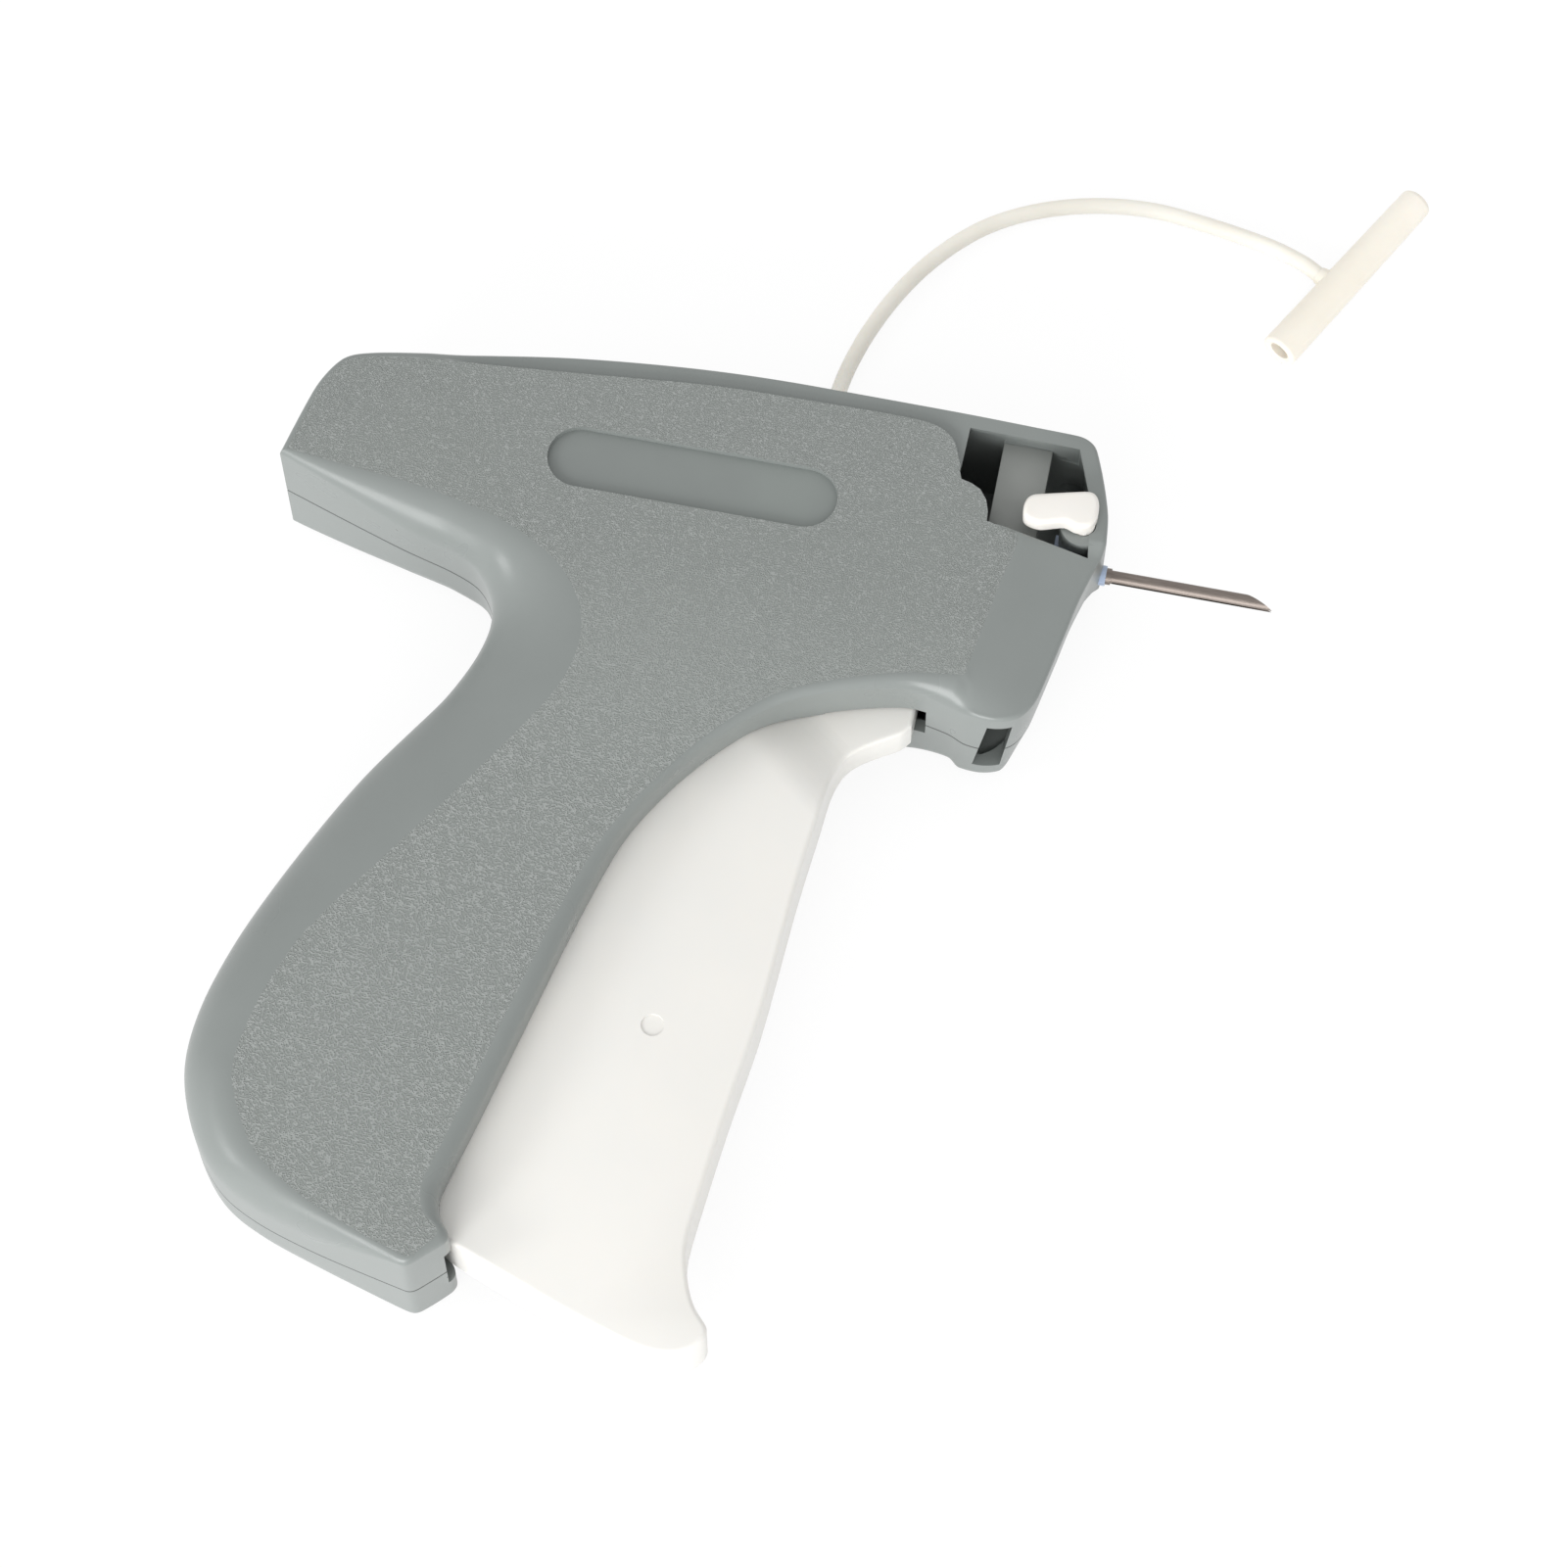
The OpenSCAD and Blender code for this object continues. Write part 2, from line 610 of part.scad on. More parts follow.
// Trigger: hollow grip, narrow hub at the top and the sector plate that drives the pinion.
module trigger() {
  edge = 0.8;
  color(white_color) place() difference() {
    union() {
      // grip below the hub
      difference() {
        union() {
          grip_form(0, grip_z0 + edge, grip_z1 - edge);
          grip_form(edge, grip_z0, grip_z1);
        }
        block(-60, -20, -30, -15, grip_z0 - 1, grip_z1 + 1);
        block(-35.5, -20, -37.5, -15, grip_z0 - 1, grip_z1 + 1);
      }
      // narrow tip and hub
      difference() {
        grip_form(0, hub_z0, hub_z1);
        block(-90, -50, -140, 0, hub_z0 - 1, hub_z1 + 1);
      }
      upright(pivot, hub_r, hub_z0, hub_z1);
      sector_plate();
    }
    // hollow, open towards the handle
    difference() {
      translate([-trigger_skin - 1, 0, grip_z0 + trigger_skin])
        linear_extrude(trigger_t - 2 * trigger_skin)
          polygon([
            [-36, -42], [-37, -62], [-38.5, -83], [-40.5, -100], [-42, -117], [-42, -124],
            [-39, -132.6], [-42, -135], [-54, -132.4], [-74, -124.6], [-90, -118], [-68, -58],
            [-60, -47], [-48, -38]
          ]);
      block(-52, -48, -spring_down - 7, -spring_down + 7, grip_z0, grip_z1);
      block(-80, -44, -101, -99, grip_z0, grip_z1);
      sector_plate();
    }
    upright(pivot, pivot_r + fit, 0, thick);
    // room for the large gear over the whole squeeze
    for (a = [0:squeeze / 4:squeeze])
      translate(pivot) rotate(a) translate(gear_at - pivot)
        upright([0, 0], gear_r + addendum + gear_clearance, 0, sector_z0 - 0.2);
  }
}

module sector_plate() {
  outer = sector_r + 3.5;
  first = mesh_angle - 360 / sector_teeth * 1.25;
  last = mesh_angle + squeeze + 360 / sector_teeth * 3.5;
  translate([0, 0, sector_z0]) linear_extrude(sector_w) {
    translate(pivot) {
      polygon(concat(
        [for (i = [0:12]) polar(outer, first + (last - first) * i / 12)],
        [for (i = [12:-1:0]) polar(sector_r + dedendum, first + (last - first) * i / 12)]
      ));
      for (k = [-1:4]) rotate(mesh_angle + 360 / sector_teeth * (k + 0.5)) sector_tooth();
    }
    polygon([
      pivot + polar(outer, last), pivot + polar(outer, last - 4), pivot + polar(sector_r + dedendum, last - 4),
      [-66, -40], [-56, -40], [-57, -47], [-65, -57], [-71, -52]
    ]);
  }
}

module trigger_pin() {
  color(steel_color) place() upright(pivot, pivot_r, floor_z - 0.6, roof_z + 0.6);
}

// ---- Return spring ---------------------------------------------------------------------
spring_front = -52.2;
spring_rear = -98;
spring_rings = 8;
spring_l = spring_front - spring_rear - 2 * wire_r - 0.2;
// The wire starts and ends with a flat, closely wound curl.
function spring_x(t) =
  let (close = 3 * wire_r, rest = spring_l - 2 * close)
  t < 1 ? close * t
  : t > spring_curls - 1 ? close + rest + close * (t - spring_curls + 1)
  : close + rest * (t - 1) / (spring_curls - 2);
spring_path = [
  for (i = [0:spring_curls * spring_rings])
    let (t = i / spring_rings)
    [spring_rear + wire_r + 0.1 + spring_x(t), spring_r * cos(360 * t), spring_r * sin(360 * t)]
];
spring_gap = min([
  for (i = [0:len(spring_path) - 1 - spring_rings])
    norm(spring_path[i + spring_rings] - spring_path[i]) - 2 * wire_r
]);
echo(spring_gap = spring_gap);

// Tube swept along points with rings of flat-sided sections, square to the path.
function path_dir(path, i) =
  unit(path[min(i + 1, len(path) - 1)] - path[max(i - 1, 0)]);
function side_of(d, ref) = unit(cross(d, ref));
module swept_tube(path, r, sides, ref) {
  n = len(path);
  points = [
    for (i = [0:n - 1])
      let (d = path_dir(path, i), u = side_of(d, ref), v = cross(d, u))
      for (k = [0:sides - 1])
        path[i] + r * (u * cos(360 * k / sides) + v * sin(360 * k / sides))
  ];
  walls = [
    for (i = [0:n - 2])
      for (k = [0:sides - 1])
        let (a = i * sides + k, b = i * sides + (k + 1) % sides)
        each [[a, b, b + sides], [a, b + sides, a + sides]]
  ];
  start = [for (k = [sides - 1:-1:0]) k];
  finish = [for (k = [0:sides - 1]) (n - 1) * sides + k];
  flipped = [for (f = concat([start], walls, [finish])) [for (i = [len(f) - 1:-1:0]) f[i]]];
  polyhedron(points, flipped, convexity = 10);
}

module return_spring() {
  color(steel_color) place() translate([0, -spring_down, mid_z])
    swept_tube(spring_path, wire_r, 6, [1, 0, 0]);
}

// ---- Gear and slide --------------------------------------------------------------------
module compound_gear() {
  color(white_color) place() translate([gear_at[0], gear_at[1], 0]) difference() {
    union() {
      translate([0, 0, gear_z0]) linear_extrude(gear_w) rotate(90) gear_outline(gear_r, gear_teeth);
      translate([0, 0, gear_z1 - 0.5]) linear_extrude(pinion_z1 - gear_z1 + 0.5)
        rotate(mesh_angle) gear_outline(pinion_r, pinion_teeth);
    }
    translate([0, 0, gear_z0 - 1]) cylinder(r = gear_axle_r + fit, h = thick);
    for (a = [0:60:300]) rotate(a + 30) translate([8.8, 0, gear_z0 - 1]) cylinder(r = 2.6, h = gear_w + 2);
  }
}

module gear_axle() {
  color(steel_color) place() upright(gear_at, gear_axle_r, floor_z - 0.6, roof_z + 0.6);
}

module ejector_slide() {
  pitch = PI * tooth_m;
  n = floor((slide_front - 1 - slide_rear) / pitch);
  color("ivory") place() difference() {
    union() {
      block(slide_rear, slide_front, -slide_down, slide_up, slide_z0, slide_z1);
      block(slide_rear, rack_front, rack_y + dedendum, -slide_down + 0.1, gear_z0, gear_z1);
      // teeth, with a space over the gear's top tooth at rest
      translate([0, rack_y, gear_z0]) linear_extrude(gear_w)
        for (k = [-n:2])
          let (x = gear_x + (k + 0.5) * pitch)
          if (x - pitch / 2 > slide_rear && x + pitch / 2 < rack_front + 0.1)
            translate([x, 0]) rack_tooth();
    }
    // bore of the push rod
    translate([slide_front - 8, 0, mid_z]) rotate([0, 90, 0]) cylinder(r = rod_r + 0.01, h = 20);
    // lightening pockets
    for (x = [slide_rear + 5:9.5:slide_front - 18])
      block(x, x + 7.5, 0, slide_up - 1.4, slide_z0 + 5, slide_z1 + 1);
  }
}

module push_rod() {
  color(steel_color) place() translate([slide_front - 8, 0, mid_z]) rotate([0, 90, 0])
    cylinder(r = rod_r, h = rod_tip - slide_front + 8);
}

// ---- Feed ------------------------------------------------------------------------------
guide_z0 = 4;
guide_face = 22;
guide_front = -11.3;
module guide_block() {
  rear = channel_rear - 4.4;
  color(shell_color * 0.9) place() difference() {
    union() {
      block(rear, channel_rear, -3, 15.2, guide_z0, guide_face);
      block(rear, guide_front, -3, 15.2, guide_face - 1.7, guide_face);
    }
    translate([rear - 1, 0, mid_z]) rotate([0, 90, 0]) cylinder(r = rod_r + fit, h = 20);
  }
}

module feed_wheel() {
  root = 0.7 * feed_r;
  color("ivory") place() translate([feed_at[0], feed_at[1], feed_z0]) difference() {
    linear_extrude(feed_w) {
      circle(r = root);
      for (k = [0:feed_teeth - 1]) rotate((k + 0.5) * 360 / feed_teeth)
        polygon([[root - 0.4, -0.45], [feed_r, -0.2], [feed_r, 0.2], [root - 0.4, 0.45]]);
    }
    translate([0, 0, -1]) cylinder(r = small_pin_r + fit, h = feed_w + 2);
  }
}

module feed_wheel_pin() {
  color(steel_color) place() upright(feed_at, small_pin_r, floor_z - 0.6, roof_z + 0.6);
}

module feed_pawl() {
  nose_x = feed_at[0] - 0.85 * feed_r - pawl_at[0];
  nose_y = feed_at[1] - pawl_at[1];
  color("ivory") place() translate([pawl_at[0], pawl_at[1], feed_z0]) difference() {
    union() {
      cylinder(r = 2.1, h = feed_w);
      linear_extrude(feed_w) polygon([
        [-1, 0], [-1, nose_y + 0.9], [0.6, nose_y + 1], [nose_x, nose_y + 0.3], [nose_x, nose_y - 0.3],
        [0.6, nose_y - 1], [1, 0]
      ]);
    }
    translate([0, 0, -1]) cylinder(r = small_pin_r + fit, h = feed_w + 2);
  }
}

module pawl_pin() {
  color(steel_color) place() upright(pawl_at, small_pin_r, floor_z - 0.6, roof_z + 0.6);
}

module pawl_spring() {
  color(steel_color) place()
    block(spring_leaf_x - 0.2, spring_leaf_x + 0.2, pawl_at[1] - 1, pawl_at[1] + 7.6, feed_z0, feed_z1 - 1);
}

module stop_spring() {
  y = feed_at[1] + feed_r + play;
  color(steel_color) place()
    block(stop_x, feed_at[0] + 1.6, y, y + 0.4, feed_z0, feed_z1 - 1);
}

// ---- Needle ----------------------------------------------------------------------------
module needle_base() {
  color([0.75, 0.82, 0.92]) place() difference() {
    union() {
      block(base_rear, base_front, -base_half, base_half, base_z0, base_z1);
      translate([base_front - 1, 0, mid_z]) rotate([0, 90, 0]) cylinder(r = spigot_r, h = spigot_l + 1);
    }
    translate([base_rear - 1, 0, mid_z]) rotate([0, 90, 0]) cylinder(r = root_r + 0.01, h = 20);
    // notch that the lever's cam turns in
    upright(lever_at, stem_r + play, mid_z + root_r + 0.4, base_z1 + 1);
  }
}

module needle() {
  color(steel_color) place() translate([0, 0, mid_z]) difference() {
    union() {
      translate([base_rear, 0, 0]) rotate([0, 90, 0]) cylinder(r = needle_r, h = needle_out - base_rear);
      translate([base_rear, 0, 0]) rotate([0, 90, 0]) cylinder(r = root_r, h = base_l + spigot_l + root_out);
    }
    translate([base_rear - 1, 0, 0]) rotate([0, 90, 0])
      cylinder(r = needle_r - needle_wall, h = needle_out - base_rear + 2);
    // thread slot along the lower side
    block(base_front + spigot_l + root_out + 0.3, needle_out + 1, -2, 0, -needle_slot / 2, needle_slot / 2);
    // bevelled point, cut from the upper side
    translate([needle_out, -needle_r, 0]) rotate([0, 0, 90 + atan(bevel_l / (2 * needle_r))])
      translate([-4, -20, -3]) cube([20, 20, 6]);
  }
}

module knife() {
  x1 = base_rear - 0.2;
  edge_y = -needle_r - 0.2;
  color(steel_color) place() translate([0, 0, mid_z - 4]) linear_extrude(8)
    polygon([[x1 - knife_t, -6], [x1, -6], [x1, edge_y - 0.8], [x1 - knife_t, edge_y]]);
}

// ---- Lock lever ------------------------------------------------------------------------
lever_z0 = thick - margin_drop + play;
lever_outline = [
  [-13.6, -0.1], [-10.7, -0.9], [-7.3, 0.3], [-5.3, -0.3], [-3.3, 0.3], [-2.2, 2.6], [-2.6, 5.6],
  [-3.6, 6.8], [-12.6, 4.7], [-13.9, 3.6]
];
module lock_lever() {
  color(white_color) place() difference() {
    union() {
      translate([0, 0, lever_z0]) linear_extrude(lever_t) polygon(lever_outline);
      upright(lever_at, stem_r, mid_z + root_r + 0.7, lever_z0 + 1);
    }
    // flat of the cam, which frees the needle base after a quarter turn
    block(lever_at[0] + 0.6, lever_at[0] + 5, -5, 9, mid_z, base_z1 - 0.2);
  }
}

// ---- Tether and cap --------------------------------------------------------------------
cord_r = cord_d / 2;
tether_x = -48;
tether_z = 4.6;
anchor_y = 15.8;
// Route of the tether's centre line, chosen by hand
cord_route = [
  [-48, 15.8, 4.6], [-48, 18, 4.6], [-48, 20.5, 4.5], [-48, 23, 4.0], [-47.9, 25.5, 3.0],
  [-47.8, 28, 2.0], [-47.5, 31, 1.4], [-46.9, 34.3, 1.3], [-45.3, 40, 1.3], [-42.6, 46.7, 1.3],
  [-39, 53.2, 1.3], [-34.5, 59, 1.3], [-29.5, 63.6, 1.3], [-23.6, 67.1, 1.3], [-17, 69.6, 1.3],
  [-10, 71.1, 1.3], [-3, 71.5, 1.3], [4, 70.8, 1.3], [10.8, 69.6, 1.5], [16.7, 67.9, 2.3],
  [21.73, 65.73, 3.05], [24.51, 64.16, 3.05]
];
module tether_hole() {
  translate([tether_x, anchor_y - 3, tether_z]) rotate([-90, 0, 0]) cylinder(r = cord_r + 0.1, h = 10);
  translate([tether_x, anchor_y - 3, tether_z]) rotate([-90, 0, 0]) cylinder(r = 2.45, h = 3.4);
}

module tether_anchor() {
  color(white_color) place() translate([tether_x, anchor_y - 2.6, tether_z]) rotate([-90, 0, 0])
    cylinder(r = 2.3, h = 2.6);
}

module tether_cord() {
  color(white_color) place() swept_tube(cord_route, cord_r, 8, [0, 0, 1]);
}

cap_mid = [29.3, 64.9];
cap_dir = [-0.492, -0.871];
cap_axis_z = cap_open_r;
cap_joint = cap_mid + 3 * cap_dir;
cap_side = [-0.871, 0.492];
module needle_cap() {
  turn = atan2(cap_dir[1], cap_dir[0]);
  floor_t = 5;
  color([0.96, 0.94, 0.9]) place() difference() {
    union() {
      translate([cap_mid[0], cap_mid[1], cap_axis_z]) rotate([0, 0, turn]) rotate([0, 90, 0])
        translate([0, 0, -cap_l / 2]) {
          translate([0, 0, 1]) cylinder(r1 = cap_closed_r, r2 = cap_open_r, h = cap_l - 1);
          cylinder(r1 = cap_closed_r - 0.9, r2 = cap_closed_r, h = 1);
        }
      // stub that carries the tether
      translate([cap_joint[0], cap_joint[1], cap_axis_z]) rotate([0, 0, atan2(cap_side[1], cap_side[0])])
        rotate([0, 90, 0]) cylinder(r = cord_r + 0.2, h = 3.8);
    }
    translate([cap_mid[0], cap_mid[1], cap_axis_z]) rotate([0, 0, turn]) rotate([0, 90, 0])
      translate([0, 0, -cap_l / 2 + floor_t]) cylinder(r = cap_bore_r, h = cap_l);
  }
}

echo(centre_x = centre_x, centre_y = centre_y, gear_at = gear_at, stroke = stroke, count = count);

left_shell();
right_shell();
shell_screws();
trigger();
trigger_pin();
return_spring();
compound_gear();
gear_axle();
ejector_slide();
push_rod();
guide_block();
feed_wheel();
feed_wheel_pin();
feed_pawl();
pawl_pin();
pawl_spring();
stop_spring();
needle_base();
needle();
knife();
lock_lever();
tether_anchor();
tether_cord();
needle_cap();
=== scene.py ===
"""Dressing of the garment tag attacher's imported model, laid out as a Blender add-on."""

import math

import bmesh
import bpy
import numpy as np
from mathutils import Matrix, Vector


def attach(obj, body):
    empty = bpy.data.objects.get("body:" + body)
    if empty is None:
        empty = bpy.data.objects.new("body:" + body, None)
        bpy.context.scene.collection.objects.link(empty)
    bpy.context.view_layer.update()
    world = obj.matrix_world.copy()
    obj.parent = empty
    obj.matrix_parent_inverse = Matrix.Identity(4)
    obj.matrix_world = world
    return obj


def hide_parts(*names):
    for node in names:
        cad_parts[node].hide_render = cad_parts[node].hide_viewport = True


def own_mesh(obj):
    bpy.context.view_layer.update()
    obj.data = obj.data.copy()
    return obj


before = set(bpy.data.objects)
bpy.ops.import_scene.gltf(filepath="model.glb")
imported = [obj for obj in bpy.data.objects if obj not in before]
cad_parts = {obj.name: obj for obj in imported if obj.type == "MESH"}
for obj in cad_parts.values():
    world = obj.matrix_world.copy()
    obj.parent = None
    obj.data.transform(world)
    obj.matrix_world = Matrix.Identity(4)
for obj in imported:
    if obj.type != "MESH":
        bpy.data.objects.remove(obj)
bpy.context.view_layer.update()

bl_info = {
    "name": "Garment tag attacher",
    "version": (1, 0, 0),
    "blender": (4, 5, 0),
    "location": "3D View > Sidebar > Attacher",
    "description": "Dresses the packed model of a garment tag attacher",
    "category": "Object",
}

CENTRE = np.array([-51.0, -60.0, 0.0])  # tool frame origin to row frame, in millimetres


# ---- Units and colours -----------------------------------------------------------------
def row(points):
    """Tool-frame millimetres to row-frame metres: shift by the tool's centre, divide by 1000."""
    return (np.asarray(points, float) - CENTRE[: np.asarray(points).shape[-1]]) / 1000.0


def linear(text, alpha=1.0):
    """sRGB hex to linear: c/12.92 below 0.04045, ((c + 0.055)/1.055)^2.4 above."""
    c = np.array([int(text[i : i + 2], 16) / 255 for i in (1, 3, 5)])
    c = np.where(c <= 0.04045, c / 12.92, ((c + 0.055) / 1.055) ** 2.4)
    return (*c.tolist(), alpha)


def hex_prop(name, text, note):
    return bpy.props.StringProperty(name=name, default=text, description=note)


def power_prop(name, value, note):
    return bpy.props.FloatProperty(name=name, default=value, min=0, description=note)


def length_prop(name, value, note, low, high):
    return bpy.props.FloatProperty(
        name=name, default=value, description=note, unit="LENGTH", min=low, max=high, precision=5
    )


# ---- Curves and grids ------------------------------------------------------------------
def smooth_curve(knots, steps, closed=True):
    """Hermite curve through the knots: p = (2t3-3t2+1)b + (t3-2t2+t)m + (3t2-2t3)c + (t3-t2)n.
    The tangents m and n point from the knot before to the one after and are as long as the nearer of the
    two lies, so uneven knots make no loop. A doubled knot makes a corner: half its one gap each way."""
    k = np.asarray(knots, float)
    if not closed:
        k = np.vstack([2 * k[0] - k[1], k, 2 * k[-1] - k[-2]])
    before, after = np.roll(k, 1, 0), np.roll(k, -1, 0)
    tangent = after - before
    pairs = [slice(0, 3)] if k.shape[1] == 3 else [slice(c, c + 2) for c in range(0, min(k.shape[1], 4), 2)]
    for part in pairs:
        gaps = np.stack([np.linalg.norm((q - k)[:, part], axis=1) for q in (before, after)])
        near = np.where(gaps.min(0) > 1e-6, gaps.min(0), gaps.max(0) / 2)
        across = np.linalg.norm((after - before)[:, part], axis=1)
        tangent[:, part] *= (near / np.maximum(across, 1e-9))[:, None]
    tangent[:, 4:] = 0
    b, c, m, n = (q[:, None, :] for q in (k, after, tangent, np.roll(tangent, -1, 0)))
    t = (np.arange(steps) / steps)[None, :, None]
    t2, t3 = t**2, t**3
    out = (2 * t3 - 3 * t2 + 1) * b + (t3 - 2 * t2 + t) * m + (3 * t2 - 2 * t3) * c + (t3 - t2) * n
    keep = np.linalg.norm(after - k, axis=1) > 0
    if not closed:
        keep[0] = keep[-1] = keep[-2] = False
        return np.vstack([out[keep].reshape(-1, k.shape[1]), k[-2]])
    return out[keep].reshape(-1, k.shape[1])


def spaced(knots, gap):
    """Leaves out each knot that lies nearer than gap to the one kept before it."""
    kept = [knots[0]]
    for k in knots[1:]:
        if math.dist(k[:2], kept[-1][:2]) >= gap:
            kept.append(k)
    return kept


def inset(path, d):
    """Moves a closed counter-clockwise outline inwards by d along the mean of its two edge normals."""
    p = np.asarray(path, float)[:, :2]

    def left(v):
        v = v / np.maximum(np.linalg.norm(v, axis=1, keepdims=True), 1e-12)
        return np.stack([-v[:, 1], v[:, 0]], 1)

    a = left(p - np.roll(p, 1, 0))
    b = left(np.roll(p, -1, 0) - p)
    return p + (a + b) * (d / np.maximum(1 + (a * b).sum(1), 0.4))[:, None]


def grid_faces(rows, cols):
    """Quads of a rows x cols grid whose columns run round."""
    i = np.arange(rows - 1)[:, None] * cols
    j = np.arange(cols)[None, :]
    a, b = i + j, i + (j + 1) % cols
    return np.stack([a, b, b + cols, a + cols], -1).reshape(-1, 4)


def new_piece(name, verts, faces, caps=(), mats=()):
    """Mesh object from an array of points in metres, quads and cap polygons."""
    mesh = bpy.data.meshes.new(name)
    polygons = [list(map(int, f)) for f in (*faces, *caps)]
    mesh.from_pydata(np.asarray(verts, float).tolist(), [], polygons)
    for m in mats:
        mesh.materials.append(m)
    mesh.update()
    obj = bpy.data.objects.new(name, mesh)
    bpy.context.scene.collection.objects.link(obj)
    return obj


def loft(name, rings, mats=()):
    """Closed solid through equal rings of points, bottom to top, counter-clockwise from above.
    Its last two faces are the flat ends, the bottom one first."""
    r = np.asarray(rings, float)
    rows, cols = r.shape[:2]
    caps = [list(range(cols))[::-1], [(rows - 1) * cols + k for k in range(cols)]]
    return new_piece(name, row(r.reshape(-1, 3)), grid_faces(rows, cols), caps, mats)


def prism(name, outline, z0, z1):
    """Straight prism of an outline between two heights, in tool-frame millimetres."""
    p = np.asarray(outline, float)[:, :2]
    area = 0.5 * np.sum(p[:, 0] * np.roll(p[:, 1], -1) - p[:, 1] * np.roll(p[:, 0], -1))
    p = p if area > 0 else p[::-1]
    return loft(name, [np.c_[p, np.full(len(p), z)] for z in (z0, z1)])


def box_outline(x0, x1, y0, y1):
    return [(x0, y0), (x1, y0), (x1, y1), (x0, y1)]


def disc(x, y, r, n=72):
    """Circle of n points about (x, y)."""
    a = np.arange(n) * 2 * math.pi / n
    return np.c_[x + r * np.cos(a), y + r * np.sin(a)]


def turned(name, start, direction, profile, n=48, mats=()):
    """Surface of revolution: profile rows (distance along, radius) turned about the axis.
    A radius of 0 closes an end in one point."""
    d = np.asarray(direction, float)
    d = d / np.linalg.norm(d)
    u = np.cross(d, [0, 0, 1.0]) if abs(d[2]) < 0.9 else np.cross(d, [1.0, 0, 0])
    u /= np.linalg.norm(u)
    v = np.cross(d, u)
    a = np.arange(n) * 2 * math.pi / n
    s, r = np.asarray(profile, float).T
    pts = (
        np.asarray(start, float)
        + s[:, None, None] * d
        + r[:, None, None] * (np.cos(a)[None, :, None] * u + np.sin(a)[None, :, None] * v)
    )
    obj = new_piece(name, row(pts.reshape(-1, 3)), grid_faces(len(s), n), (), mats)
    tidy_mesh(obj)
    return obj


def tube(name, path, radius, sides=20, mats=()):
    """Round tube along a path of points: circles square to the path, closed by flat ends."""
    p = np.asarray(path, float)
    t = np.gradient(p, axis=0)
    t /= np.linalg.norm(t, axis=1, keepdims=True)
    u = np.cross(t, [0, 0, 1.0])
    u /= np.linalg.norm(u, axis=1, keepdims=True)
    v = np.cross(t, u)
    a = np.arange(sides) * 2 * math.pi / sides
    around = np.cos(a)[None, :, None] * u[:, None, :] + np.sin(a)[None, :, None] * v[:, None, :]
    pts = p[:, None, :] + radius * around
    n = len(p)
    caps = [list(range(sides)), [(n - 1) * sides + k for k in range(sides)][::-1]]
    obj = new_piece(name, row(pts.reshape(-1, 3)), grid_faces(n, sides), caps, mats)
    along = np.concatenate([[0], np.cumsum(np.linalg.norm(np.diff(p, axis=0), axis=1))])
    uv = obj.data.uv_layers.new(name="UVMap")
    loops = np.zeros(len(obj.data.loops), np.int32)
    obj.data.loops.foreach_get("vertex_index", loops)
    uv.data.foreach_set("uv", np.c_[along[loops // sides] / 1000, (loops % sides) / sides].ravel())
    tidy_mesh(obj)
    return obj


def tidy_mesh(obj):
    """Merges points nearer than a micrometre, drops faces without area and turns the rest outwards."""
    bm = bmesh.new()
    bm.from_mesh(obj.data)
    bmesh.ops.remove_doubles(bm, verts=bm.verts, dist=1e-6)
    bmesh.ops.dissolve_degenerate(bm, edges=bm.edges, dist=1e-7)
    bmesh.ops.recalc_face_normals(bm, faces=bm.faces)
    bm.to_mesh(obj.data)
    bm.free()


def settle(obj):
    """Applies every modifier of obj to its mesh."""
    mesh = bpy.data.meshes.new_from_object(obj.evaluated_get(bpy.context.evaluated_depsgraph_get()))
    obj.modifiers.clear()
    old = obj.data
    obj.data = mesh
    mesh.name = old.name
    bpy.data.meshes.remove(old)


def carve(obj, cutter, how="DIFFERENCE"):
    """Cuts another closed solid away, joins it or keeps what both share, and removes it."""
    m = obj.modifiers.new("cut", "BOOLEAN")
    m.operation = how
    m.solver = "EXACT"
    m.object = cutter
    settle(obj)
    old = cutter.data
    bpy.data.objects.remove(cutter)
    bpy.data.meshes.remove(old)


def shade(obj, angle=32):
    """Smooth shading with edges sharper than angle kept crisp."""
    obj.data.polygons.foreach_set("use_smooth", np.ones(len(obj.data.polygons), bool))
    obj.data.set_sharp_from_angle(angle=math.radians(angle))


def soften(obj, width):
    """Small rounded edges, as moulded or tumbled parts have."""
    m = obj.modifiers.new("edges", "BEVEL")
    m.width = width
    m.segments = 2
    m.limit_method = "ANGLE"
    m.angle_limit = math.radians(35)
    m.harden_normals = False
    m.use_clamp_overlap = True
    settle(obj)
    shade(obj, 40)


def copy_node(name, node, material, edge):
    """Merged copy of a CAD node, with its edges softened when edge is given, which stands for the node."""
    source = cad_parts[node]
    obj = bpy.data.objects.new(name, source.data.copy())
    bpy.context.scene.collection.objects.link(obj)
    obj.data.materials.clear()
    obj.data.materials.append(material)
    bm = bmesh.new()
    bm.from_mesh(obj.data)
    bmesh.ops.remove_doubles(bm, verts=bm.verts, dist=2e-6)
    bmesh.ops.dissolve_limit(bm, angle_limit=math.radians(1.5), verts=bm.verts, edges=bm.edges)
    for f in bm.faces:
        f.material_index = 0
    bm.to_mesh(obj.data)
    bm.free()
    if edge:
        soften(obj, edge)
    else:
        shade(obj)
    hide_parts(node)
    return obj


def ride_slot(obj, body):
    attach(obj, body)


